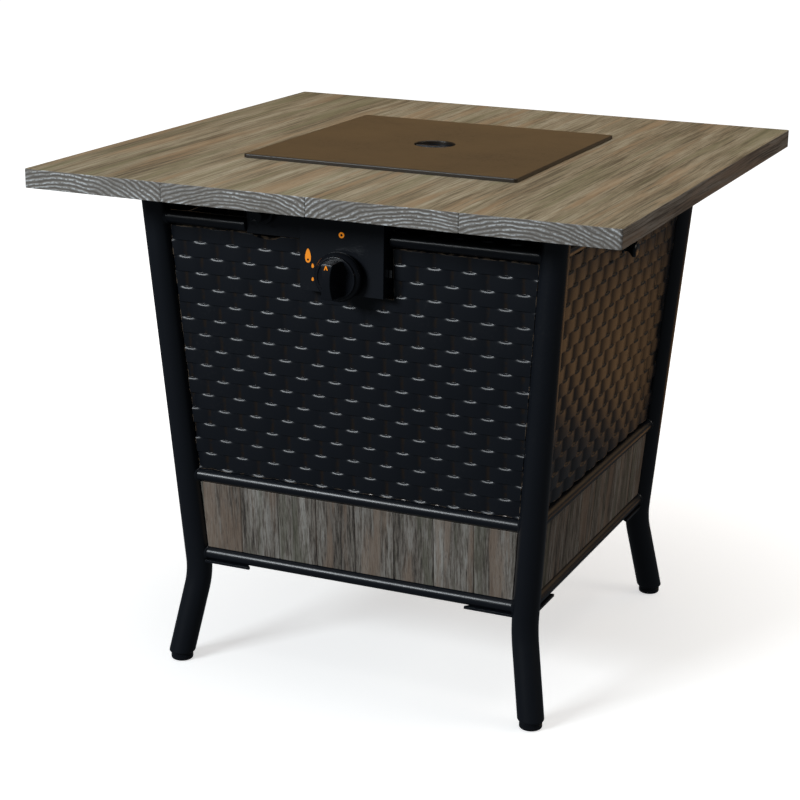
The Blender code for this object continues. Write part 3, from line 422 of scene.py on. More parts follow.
@dataclass(frozen=True)
class WeatheredBoard:
    """Weathered wood-look board: grey-brown streaks along the grain, with limed rings on the cut ends."""

    name: str
    cut: Grain
    along: int
    across: int
    plank: float
    shift: float
    dark: Colour
    middle: Colour
    light: Colour
    pale: Colour
    roughness: float = 0.62
    sway: float = 12.0 * MM
    ring_gap: float = 4.2 * MM
    ring_squash: float = 0.62
    ring_wobble: float = 9.0 * MM
    heart_height: float = 560.0 * MM
    heart_drop: float = 30.0 * MM
    heart_spread: float = 110.0 * MM

    def make(self) -> bpy.types.Material:
        """Build the material.

        Returns:
            The material.
        """
        recipe = Recipe(self.name, self.middle, self.roughness)
        if self.cut is Grain.END:
            self._rings(recipe)
        else:
            self._streaks(recipe)
        return recipe.material

    def _streaks(self, recipe: Recipe) -> None:
        """Colour and relief of a face that runs with the grain.

        Args:
            recipe: the material.
        """
        axes = recipe.axes()
        along = axes[self.along]
        across = axes[self.across]
        other = axes[3 - self.along - self.across]
        board = ((across + self.shift) / self.plank).floor()
        bend = recipe.cloud(recipe.joined(across * 7.0, along * 3.0, board * 3.7), 1.0, 2.0) - 0.5
        cross = across + bend * self.sway
        seed = board * 5.3

        def grain(narrow: float, long: float, detail: float, rough: float) -> Field:
            """Noise drawn out along the grain, with so many features a metre across and along."""
            vector = recipe.joined(cross * narrow, along * long + seed, other * narrow)
            return recipe.cloud(vector, 1.0, detail, rough)

        broad = grain(46.0, 2.2, 6.0, 0.68)
        fibre = grain(420.0, 7.0, 4.0, 0.75)
        pores = grain(900.0, 30.0, 2.0, 0.6)
        hue = grain(38.0, 1.8, 4.0, 0.65)
        board_tone = (board * GOLDEN + 0.31).fraction() - 0.5
        tone = broad * 0.40 + fibre * 0.60 + board_tone * 0.03
        stops = ((0.41, self.dark), (0.475, self.middle), (0.53, self.light), (0.60, self.pale))
        colour = recipe.ramp(tone, stops)
        green = tuple(c * k for c, k in zip(self.middle, (0.86, 1.05, 0.86)))
        pink = tuple(c * k for c, k in zip(self.light, (1.10, 0.88, 0.74)))
        colour = recipe.mix(colour, green, hue.between(0.52, 0.64) * 0.5)
        colour = recipe.mix(colour, pink, (1.0 - hue.between(0.38, 0.49)) * 0.6)
        colour = recipe.mix(colour, self.dark, fibre.between(0.55, 0.68) * 0.55)
        colour = recipe.mix(colour, self.dark, pores.between(0.58, 0.72) * 0.55)
        recipe.feed("Base Color", colour)
        recipe.feed("Roughness", fibre * 0.22 + (self.roughness - 0.10))
        recipe.bump(fibre * 0.6 + pores * 0.4, 0.00045, 0.8)

    def _rings(self, recipe: Recipe) -> None:
        """Colour and relief of a cut end: limed rings about a heart below or beside each plank.

        Args:
            recipe: the material.
        """
        axes = recipe.axes()
        across = (axes[self.across] + self.shift) / self.plank
        board = across.floor()
        inside = (across.fraction() - 0.5) * self.plank
        heart_x = (board * 0.37 + 0.18).fraction() * self.heart_spread - self.heart_spread / 2
        heart_z = self.heart_height - (board * 0.29 + 0.4).fraction() * self.heart_drop
        dx = (inside - heart_x) * self.ring_squash
        dz = axes[2] - heart_z
        wobble = recipe.cloud(recipe.joined(inside * 28.0, board * 2.0, axes[2] * 60.0), 1.0, 3.0, 0.55) - 0.5
        reach = (dx * dx + dz * dz).root() + wobble * self.ring_wobble
        turn = reach * (2.0 * math.pi / self.ring_gap)
        ring = turn.wave() * 0.5 + 0.5
        chalk = recipe.cloud(recipe.place((300.0, 300.0, 300.0)), 1.0, 3.0, 0.6)
        patch = recipe.cloud(recipe.place((16.0, 16.0, 40.0)), 1.0, 3.0, 0.55).between(0.36, 0.60)
        limed = ring.between(0.58, 0.95) * chalk.between(0.34, 0.60) * (patch * 0.65 + 0.35)
        deep = (1.0 - ring).between(0.72, 0.98)
        colour = recipe.mix(self.middle, self.light, recipe.cloud(recipe.place((24.0, 24.0, 70.0)), 1.0, 4.0))
        colour = recipe.mix(colour, self.dark, deep * 0.60)
        colour = recipe.mix(colour, self.pale, limed)
        recipe.feed("Base Color", colour)
        recipe.bump(ring * 0.7 + chalk * 0.3, 0.0006, 0.7)


@dataclass(frozen=True)
class MouldedPlastic:
    """Moulded plastic with a fine even texture; a glow above nought is painted light."""

    name: str
    colour: Colour
    roughness: float
    grit: float = 1600.0
    glow: float = 0.0

    def make(self) -> bpy.types.Material:
        """Build the material.

        Returns:
            The material.
        """
        recipe = Recipe(self.name, self.colour, self.roughness)
        recipe.shader.inputs["Emission Color"].default_value = (*self.colour, 1.0)
        recipe.shader.inputs["Emission Strength"].default_value = self.glow
        broad = recipe.cloud(recipe.place(), 60.0, 3.0)
        recipe.feed("Roughness", broad * 0.12 + (self.roughness - 0.06))
        recipe.bump(recipe.cloud(recipe.place(), self.grit, 1.0), 0.00004)
        return recipe.material


@dataclass(frozen=True)
class BareMetal:
    """Bare metal with fine scratches and a dull bloom."""

    name: str
    colour: Colour
    dull: Colour
    roughness: float

    def make(self) -> bpy.types.Material:
        """Build the material.

        Returns:
            The material.
        """
        recipe = Recipe(self.name, self.colour, self.roughness, 1.0)
        bloom = recipe.cloud(recipe.place(), 70.0, 5.0, 0.6)
        lines = recipe.cloud(recipe.place((1200.0, 90.0, 1200.0)), 1.0, 2.0)
        recipe.feed("Base Color", recipe.mix(self.colour, self.dull, bloom.between(0.45, 0.75) * 0.8))
        recipe.feed("Roughness", bloom * 0.25 + lines * 0.10 + (self.roughness - 0.15))
        recipe.bump(lines, 0.00004)
        return recipe.material


@dataclass(frozen=True)
class LavaRock:
    """Porous red-brown and grey lava rock."""

    name: str = "lava_rock"

    def make(self) -> bpy.types.Material:
        """Build the material.

        Returns:
            The material.
        """
        recipe = Recipe(self.name, (0.10, 0.05, 0.04), 0.95)
        broad = recipe.cloud(recipe.place(), 45.0, 4.0, 0.6)
        cells = recipe.node("ShaderNodeTexVoronoi", {}, {"Vector": recipe.place(), "Scale": 420.0})
        pits = Field(recipe, cells.outputs["Distance"]).between(0.15, 0.5)
        stops = ((0.35, (0.035, 0.030, 0.030)), (0.5, (0.105, 0.050, 0.038)), (0.65, (0.17, 0.10, 0.08)))
        colour = recipe.ramp(broad, stops)
        # Painted shade: the pits are nearly black, as the holes lie in shade.
        recipe.feed("Base Color", recipe.mix((0.012, 0.009, 0.008), colour, pits))
        recipe.bump(pits * 0.7 + recipe.cloud(recipe.place(), 300.0, 4.0, 0.7) * 0.3, 0.0016)
        return recipe.material


TOP_PLANK = 177.8 * MM
SKIRT_PLANK = 50.8 * MM
X, Y, Z = 0, 1, 2


class Finishes:
    """Every finish of the table, each made once."""

    def __init__(self) -> None:
        """Make the materials and name each one's slot in the record."""
        top = dict(
            dark=(0.110, 0.082, 0.046),
            middle=(0.245, 0.193, 0.116),
            light=(0.365, 0.300, 0.198),
            pale=(0.520, 0.455, 0.330),
        )
        skirt = dict(
            dark=(0.048, 0.040, 0.034),
            middle=(0.165, 0.138, 0.114),
            light=(0.290, 0.260, 0.226),
            pale=(0.470, 0.440, 0.400),
        )
        half = TOP_PLANK * 2
        self.coat = PowderCoat().make()
        self.wicker = WovenCoat(name="wicker_coat", roughness=0.33, peel_depth=0.00002).make()
        # The lid's coat is near black; its brown tint is partly a painted reflection of warm light.
        self.lid = PowderCoat(
            name="bronze_coat",
            colour=(0.024, 0.016, 0.009),
            roughness=0.34,
            dust=(0.060, 0.042, 0.026),
            dust_share=0.12,
        ).make()
        self.top_face = WeatheredBoard("board_face", Grain.FLAT, Y, X, TOP_PLANK, half, **top).make()
        self.top_edge = WeatheredBoard("board_edge", Grain.EDGE, Y, Z, TOP_PLANK, half, **skirt).make()
        ends = dict(
            dark=(0.085, 0.070, 0.056),
            middle=(0.205, 0.180, 0.155),
            light=(0.300, 0.280, 0.255),
            pale=(0.720, 0.740, 0.750),
        )
        self.top_end = WeatheredBoard("board_end", Grain.END, Y, X, TOP_PLANK, half, **ends).make()
        self.skirt_x = WeatheredBoard("skirt_face", Grain.FLAT, Z, X, SKIRT_PLANK, half, **skirt).make()
        self.skirt_y = WeatheredBoard("skirt_side", Grain.FLAT, Z, Y, SKIRT_PLANK, half, **skirt).make()
        self.plastic = MouldedPlastic("moulded_plastic", (0.0095, 0.0110, 0.0150), 0.23).make()
        self.steel = BareMetal("bare_steel", (0.56, 0.56, 0.55), (0.30, 0.29, 0.28), 0.34).make()
        self.brass = BareMetal("brass_fitting", (0.62, 0.43, 0.18), (0.34, 0.22, 0.10), 0.32).make()
        self.ceramic = MouldedPlastic("glazed_ceramic", (0.80, 0.78, 0.73), 0.25).make()
        # The orange print also glows a little: painted light that brightens the marks.
        self.print = MouldedPlastic("orange_print", (1.0, 0.31, 0.012), 0.5, glow=0.35).make()
        self.rock = LavaRock().make()
        self.by_slot = {
            "black_steel": self.coat,
            "black_wicker": self.wicker,
            "bronze_lid": self.lid,
            "weathered_top": self.top_face,
            "weathered_skirt": self.skirt_x,
            "black_plastic": self.plastic,
            "bare_steel": self.steel,
            "brass": self.brass,
            "ceramic": self.ceramic,
            "lava": self.rock,
        }


# ---------------------------------------------------------------- modelling by operators


class Bench:
    """Modelling with operators, one piece at a time."""

    @staticmethod
    def clear() -> None:
        """Deselect every object."""
        bpy.ops.object.select_all(action="DESELECT")

    @staticmethod
    def pick(piece: bpy.types.Object) -> None:
        """Select one object and make it the active one.

        Args:
            piece: the object.
        """
        Bench.clear()
        piece.select_set(True)
        bpy.context.view_layer.objects.active = piece

    @staticmethod
    def named(name: str) -> bpy.types.Object:
        """Name the active object and its mesh.

        Args:
            name: the name for both.

        Returns:
            The object.
        """
        piece = bpy.context.object
        piece.name = name
        piece.data.name = name
        return piece

    @staticmethod
    @contextmanager
    def editing(piece: bpy.types.Object, mode: str = "FACE") -> Iterator[None]:
        """Edit mode on one piece, with nothing selected at the start.

        Args:
            piece: the piece to edit.
            mode: VERT, EDGE or FACE.

        Yields:
            Nothing.
        """
        Bench.pick(piece)
        bpy.ops.object.mode_set(mode="EDIT")
        bpy.ops.mesh.select_mode(type=mode)
        bpy.ops.mesh.select_all(action="DESELECT")
        yield
        bpy.ops.object.mode_set(mode="OBJECT")

    @staticmethod
    def select(piece: bpy.types.Object, kind: str, test: Callable[[object], bool]) -> None:
        """Select faces, edges or vertices in edit mode by a test on each.

        Args:
            piece: the piece in edit mode.
            kind: "faces", "edges" or "verts".
            test: says whether one is selected.
        """
        work = bmesh.from_edit_mesh(piece.data)
        work.normal_update()
        for part in getattr(work, kind):
            part.select_set(False)
        for part in getattr(work, kind):
            if test(part):
                part.select_set(True)
        bmesh.update_edit_mesh(piece.data)

    @staticmethod
    def round_uprights(piece: bpy.types.Object, width: float, segments: int) -> None:
        """Round a block's upright edges.

        Args:
            piece: the block.
            width: the width of the rounding.
            segments: the number of faces across it.
        """
        with Bench.editing(piece, "EDGE"):
            Bench.select(piece, "edges", lambda edge: abs(edge.verts[0].co.z - edge.verts[1].co.z) > MM)
            bpy.ops.mesh.bevel(offset=width, segments=segments)

    @staticmethod
    def apply_place(piece: bpy.types.Object) -> None:
        """Put the object's place into its mesh."""
        Bench.pick(piece)
        bpy.ops.object.transform_apply(location=True, rotation=True, scale=True)

    @staticmethod
    def move(piece: bpy.types.Object, matrix: Matrix) -> None:
        """Set the object's place, and put it into its mesh."""
        piece.matrix_world = matrix
        Bench.apply_place(piece)

    @staticmethod
    def modify(piece: bpy.types.Object, kind: str, **settings: object) -> None:
        """Add a modifier and apply it.

        Args:
            piece: the piece.
            kind: the modifier's type.
            **settings: its properties.
        """
        Bench.pick(piece)
        made = piece.modifiers.new(kind.lower(), kind)
        for key, value in settings.items():
            setattr(made, key, value)
        bpy.ops.object.modifier_apply(modifier=made.name)

    @staticmethod
    def carve(piece: bpy.types.Object, tool: bpy.types.Object, operation: str = "DIFFERENCE") -> None:
        """Cut a piece with a tool, or join the tool to it, and throw the tool away.

        Args:
            piece: the piece.
            tool: the other solid.
            operation: the Boolean's operation.
        """
        Bench.modify(piece, "BOOLEAN", object=tool, operation=operation, solver="EXACT")
        bpy.data.objects.remove(tool, do_unlink=True)

    @staticmethod
    def bevel(piece: bpy.types.Object, width: float, segments: int, angle: float) -> None:
        """Round every edge sharper than an angle.

        Args:
            piece: the piece.
            width: the width of the rounding.
            segments: the number of faces across it.
            angle: the sharpest angle that stays as it is, in degrees.
        """
        limit = math.radians(angle)
        settings = dict(width=width, segments=segments, limit_method="ANGLE", angle_limit=limit)
        Bench.modify(piece, "BEVEL", **settings)

    @staticmethod
    def soften(piece: bpy.types.Object, width: float, segments: int = 2, angle: float = 30.0) -> None:
        """Round every edge sharper than an angle, and shade the piece smooth."""
        Bench.bevel(piece, width, segments, angle)
        Bench.smooth(piece, level=True)

    @staticmethod
    def smooth(piece: bpy.types.Object, angle: float = 38.0, level: bool = False) -> None:
        """Shade a piece smooth, with edges sharper than an angle left sharp.

        Args:
            piece: the piece.
            angle: the sharpest angle that is smoothed, in degrees.
            level: whether the large faces stay level right up to their rounded edges.
        """
        Bench.pick(piece)
        bpy.ops.object.shade_smooth_by_angle(angle=math.radians(angle))
        if level:
            Bench.modify(piece, "WEIGHTED_NORMAL", weight=100, keep_sharp=True)

    @staticmethod
    def tidy(piece: bpy.types.Object) -> None:
        """Merge doubles and point the faces outwards.

        Args:
            piece: the piece.
        """
        with Bench.editing(piece, "VERT"):
            bpy.ops.mesh.select_all(action="SELECT")
            bpy.ops.mesh.remove_doubles(threshold=MERGE)
            bpy.ops.mesh.normals_make_consistent(inside=False)

    @staticmethod
    def dress(piece: bpy.types.Object, *materials: bpy.types.Material) -> None:
        """Give a piece its material slots.

        Args:
            piece: the piece.
            *materials: the material of each slot.
        """
        piece.data.materials.clear()
        for material in materials:
            piece.data.materials.append(material)

    @staticmethod
    def block(name: str, low: Sequence[float], high: Sequence[float]) -> bpy.types.Object:
        """A box between two corners, to be shaped further.

        Args:
            name: the piece's name.
            low: its lowest corner.
            high: its highest corner.

        Returns:
            The box, with its place in its mesh.
        """
        Bench.clear()
        middle = [(a + b) / 2 for a, b in zip(low, high)]
        bpy.ops.mesh.primitive_cube_add(size=1.0, location=middle)
        piece = Bench.named(name)
        piece.scale = [b - a for a, b in zip(low, high)]
        Bench.apply_place(piece)
        return piece

    @staticmethod
    def bar(name: str, start: Vector, end: Vector, radius: float, sides: int = 32) -> bpy.types.Object:
        """A round bar from one point to another.

        Args:
            name: the piece's name.
            start: the middle of one end.
            end: the middle of the other.
            radius: its radius.
            sides: its number of sides.

        Returns:
            The bar, with its place in its mesh.
        """
        Bench.clear()
        along = end - start
        turn = along.to_track_quat("Z", "Y").to_euler()
        bpy.ops.mesh.primitive_cylinder_add(
            vertices=sides, radius=radius, depth=along.length, location=(start + end) / 2, rotation=turn
        )
        piece = Bench.named(name)
        Bench.apply_place(piece)
        return piece

    @staticmethod
    def lathe(
        name: str, profile: Sequence[tuple[float, float]], place: Matrix, sides: int = 64
    ) -> bpy.types.Object:
        """A profile of (radius, height) spun about +Z and put at a place.

        Args:
            name: the piece's name.
            profile: its points, from the axis round and back to it, or a closed ring.
            place: where the axis goes.
            sides: the number of steps in the turn.

        Returns:
            The turned piece, with its place in its mesh.
        """
        mesh = bpy.data.meshes.new(name)
        points = [(radius, 0.0, height) for radius, height in profile]
        mesh.from_pydata(points, [(i, i + 1) for i in range(len(points) - 1)], [])
        piece = bpy.data.objects.new(name, mesh)
        bpy.context.scene.collection.objects.link(piece)
        with Bench.editing(piece, "VERT"):
            bpy.ops.mesh.select_all(action="SELECT")
            bpy.ops.mesh.spin(steps=sides, angle=2 * math.pi, center=(0, 0, 0), axis=(0, 0, 1))
        Bench.tidy(piece)
        Bench.move(piece, place)
        Bench.smooth(piece)
        return piece

    @staticmethod
    def copied(node: str, name: str) -> bpy.types.Object:
        """A merged copy of a CAD node's mesh, with its flat faces made whole.

        Args:
            node: the CAD node.
            name: the new piece's name.

        Returns:
            The copy.
        """
        source = frame["nodes"][node]
        piece = bpy.data.objects.new(name, source.data.copy())
        piece.data.name = name
        bpy.context.scene.collection.objects.link(piece)
        with Bench.editing(piece, "VERT"):
            bpy.ops.mesh.select_all(action="SELECT")
            bpy.ops.mesh.remove_doubles(threshold=MERGE)
            bpy.ops.mesh.dissolve_limited(angle_limit=math.radians(0.5))
        return piece

    @staticmethod
    def finish(
        piece: bpy.types.Object, wears: bpy.types.Material, body: str, slot: str, *nodes: str
    ) -> None:
        """Give a piece its one material, and hand it over.

        Args:
            piece: the finished piece.
            wears: its material.
            body: the CAD body.
            slot: the record's material slot.
            *nodes: the CAD nodes it replaces.
        """
        Bench.dress(piece, wears)
        Bench.hand_over(piece, body, slot, *nodes)

    @staticmethod
    def hand_over(piece: bpy.types.Object, body: str, slot: str, *nodes: str) -> None:
        """Say what a finished piece rides on and which CAD nodes it stands for.

        Args:
            piece: the finished piece.
            body: the CAD body.
            slot: not used.
            *nodes: the CAD nodes it replaces.
        """
        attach(piece, body)
        if nodes:
            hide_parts(*nodes)
        LOG.info("%s: %d faces, on %s", piece.name, len(piece.data.polygons), body)


# ---------------------------------------------------------------- the leaning frame


@dataclass(frozen=True)
class Lean:
    """The leaning planes that the legs' axes lie in, and the rails' heights in them."""

    underside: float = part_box("tabletop")[0].z
    top_reach: float = 250.0 * MM
    knee_reach: float = 215.0 * MM
    knee_height: float = 113.0 * MM
    foot_reach: float = 233.0 * MM
    leg_radius: float = 15.9 * MM
    lower_rail: float = 141.0 * MM
    middle_rail: float = 244.0 * MM
    top_rail: float = 566.0 * MM
    rail_radius: float = 7.95 * MM

    @property
    def angle(self) -> float:
        """How far a side leans from upright, in radians."""
        return math.atan2(self.top_reach - self.knee_reach, self.underside - self.knee_height)

    def reach(self, height: float) -> float:
        """How far the legs' axes stand from the centre planes at a height above the knee."""
        return self.top_reach + (height - self.underside) * math.tan(self.angle)

    def plane(self, side: Side) -> Matrix:
        """The frame of one side: X along it, Y up the slope from the floor, Z outwards.

        Args:
            side: the side.

        Returns:
            The frame's matrix.
        """
        across = Vector((1, 0, 0))
        up = Vector((0, -math.sin(self.angle), math.cos(self.angle)))
        matrix = Matrix((across, up, across.cross(up))).transposed().to_4x4()
        matrix.translation = Vector((0, -self.reach(0), 0))
        return side.turn @ matrix

    def slope(self, height: float) -> float:
        """The distance up the slope for a height."""
        return height / math.cos(self.angle)

    def half_width(self, slope: float, gap: float) -> float:
        """Half the free width between two legs at a distance up the slope."""
        edge = math.atan(math.sin(self.angle))
        return self.reach(slope * math.cos(self.angle)) - (self.leg_radius + gap) / math.cos(edge)


LEAN = Lean()


@dataclass
class Legs:
    """Four bent tube legs, their foot caps, the rails and the gussets."""

    finishes: Finishes
    bend_radius: float = 110.0 * MM
    bend_steps: int = 14
    sides: int = 48
    foot_taper: float = 2.2 * MM
    rail_sink: float = 6.0 * MM
    cap_edge: float = 2.6 * MM
    weld_radius: float = 1.6 * MM
    weld_ripple: float = 0.03
    weld_beads: float = 17.0
    cap_height: float = field(default_factory=lambda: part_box("leg_back_right")[0].z)
    leg_top: float = field(default_factory=lambda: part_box("leg_back_right")[1].z)

    def build(self) -> None:
        """Make every tube and its welds."""
        first = self._leg()
        for index, corner in enumerate(("back_right", "back_left", "front_left", "front_right")):
            leg = first.copy()
            leg.data = first.data.copy()
            leg.name = "tube_leg_" + corner
            leg.data.name = leg.name
            bpy.context.scene.collection.objects.link(leg)
            Bench.move(leg, Matrix.Rotation(index * math.pi / 2, 4, "Z"))
            Bench.finish(leg, self.finishes.coat, "frame", "black_steel", "leg_" + corner)
            self._cap(corner, leg)
        bpy.data.objects.remove(first, do_unlink=True)
        for row, height in (
            ("lower", LEAN.lower_rail),
            ("middle", LEAN.middle_rail),
            ("top", LEAN.top_rail),
        ):
            for side in Side:
                self._rail(row, height, side)
        for corner in ("front_left", "front_right", "back_right", "back_left"):
            plate = Bench.copied("gusset_" + corner, "plate_" + corner)
            Bench.soften(plate, 0.5 * MM)
            Bench.finish(plate, self.finishes.coat, "frame", "black_steel", "gusset_" + corner)

    def _leg(self) -> bpy.types.Object:
        """The leg of the +X +Y corner: a circle drawn down, spun round the knee and drawn on.

        Returns:
            The closed leg, cut level at its top and at its foot.
        """
        top = Vector((LEAN.top_reach, LEAN.top_reach, LEAN.underside))
        knee = Vector((LEAN.knee_reach, LEAN.knee_reach, LEAN.knee_height))
        foot = Vector((LEAN.foot_reach, LEAN.foot_reach, self.cap_height))
        down = (knee - top).normalized()
        out = (foot - knee).normalized()
        bend = down.angle(out)
        tangent = self.bend_radius * math.tan(bend / 2)
        start = knee - down * tangent
        axis = down.cross(out).normalized()
        centre = start + axis.cross(down) * self.bend_radius
        Bench.clear()
        bpy.ops.mesh.primitive_circle_add(
            vertices=self.sides,
            radius=LEAN.leg_radius,
            fill_type="NGON",
            location=top,
            rotation=down.to_track_quat("Z", "Y").to_euler(),
        )
        leg = Bench.named("leg_tube")
        Bench.apply_place(leg)
        with Bench.editing(leg):
            bpy.ops.mesh.select_all(action="SELECT")
            bpy.ops.mesh.extrude_region_move(TRANSFORM_OT_translate={"value": start - top})
            bpy.ops.mesh.spin(steps=self.bend_steps, angle=bend, center=centre, axis=-axis)
            past_foot = out * (foot - knee).length
            bpy.ops.mesh.extrude_region_move(TRANSFORM_OT_translate={"value": past_foot})
            for level, lower in ((self.cap_height, False), (self.leg_top, True)):
                bpy.ops.mesh.select_all(action="SELECT")
                bpy.ops.mesh.bisect(
                    plane_co=(0, 0, level),
                    plane_no=(0, 0, 1),
                    use_fill=True,
                    clear_inner=not lower,
                    clear_outer=lower,
                )
        Bench.tidy(leg)
        with Bench.editing(leg, "EDGE"):
            low = self.cap_height + 0.1 * MM
            Bench.select(leg, "edges", lambda edge: all(v.co.z < low for v in edge.verts))
            bpy.ops.mesh.bevel(offset=self.foot_taper, segments=4, profile=0.6)
        Bench.smooth(leg, 50.0, level=True)
        return leg

    def _cap(self, corner: str, leg: bpy.types.Object) -> None:
        """The moulded cap under one leg.

        Args:
            corner: the corner's name.
            leg: not used.
        """
        low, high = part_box("foot_cap_" + corner)
        radius = (high.x - low.x) / 2
        rim = self.cap_height - 0.3 * MM
        edge = self.cap_edge
        profile = [(0, 0), (radius - edge, 0)]
        profile += [
            (radius - edge + edge * math.sin(a), edge - edge * math.cos(a))
            for a in (math.radians(step) for step in (22.5, 45, 67.5, 90))
        ]
        profile += [
            (radius, rim * 0.62),
            (radius - 0.5 * MM, rim * 0.66),
            (radius - 0.5 * MM, rim * 0.72),
            (radius, rim * 0.76),
            (radius, rim - 0.4 * MM),
            (radius - 0.4 * MM, rim),
            (radius * 0.72, rim),
            (radius * 0.70, high.z),
            (0, high.z),
        ]
        spot = Matrix.Translation(((low.x + high.x) / 2, (low.y + high.y) / 2, 0))
        cap = Bench.lathe("cap_" + corner, profile, spot, 48)
        Bench.finish(cap, self.finishes.plastic, "frame", "black_plastic", "foot_cap_" + corner)

    def _rail(self, row: str, height: float, side: Side) -> None:
        """One rail with a weld bead at each leg; the front top rail is in two lengths.

        Args:
            row: lower, middle or top.
            height: the rail's axis above the floor.
            side: the side it is on.
        """
        plane = LEAN.plane(side)
        slope = LEAN.slope(height)
        reach = LEAN.reach(height)
        sink = self.rail_sink
        spans = [(f"{row}_rail_{side.label}", -reach + sink, reach - sink)]
        if (row, side) == ("top", Side.FRONT):
            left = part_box("top_rail_front_left")[1].x
            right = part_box("top_rail_front_right")[0].x
            spans = [
                ("top_rail_front_left", -reach + sink, left),
                ("top_rail_front_right", right, reach - sink),
            ]
        for node, start, end in spans:
            ends = [plane @ Vector((x, slope, 0)) for x in (start, end)]
            rail = Bench.bar("tube_" + node, ends[0], ends[1], LEAN.rail_radius, 32)
            Bench.soften(rail, 0.8 * MM, 3, 60.0)
            Bench.finish(rail, self.finishes.coat, "frame", "black_steel", node)
            for x in (start, end):
                if abs(x) < reach - 2 * sink:
                    continue
                self._weld(node, plane, slope, math.copysign(LEAN.half_width(slope, 0.2 * MM), x))

    def _weld(self, node: str, plane: Matrix, slope: float, across: float) -> None:
        """A weld bead where a rail meets a leg.

        Args:
            node: the rail's node.
            plane: the side's frame.
            slope: the rail's place up the slope.
            across: the bead's place along the side.
        """
        Bench.clear()
        bpy.ops.mesh.primitive_torus_add(
            major_radius=LEAN.rail_radius,
            minor_radius=self.weld_radius,
            major_segments=36,
            minor_segments=8,
        )
        end = "low" if across < 0 else "high"
        bead = Bench.named(f"weld_{node}_{end}")
        for vertex in bead.data.vertices:
            angle = math.atan2(vertex.co.y, vertex.co.x)
            ripple = 1.0 + self.weld_ripple * math.sin(angle * self.weld_beads)
            vertex.co.x *= ripple
            vertex.co.y *= ripple
            vertex.co.z -= (vertex.co.x ** 2) / (2 * LEAN.leg_radius)
        sign = math.copysign(1.0, across)
        turn = Matrix.Rotation(-sign * math.pi / 2, 4, "Y")
        Bench.move(bead, plane @ Matrix.Translation((across, slope, 0)) @ turn)
        Bench.smooth(bead)
        Bench.finish(bead, self.finishes.coat, "frame", "black_steel")


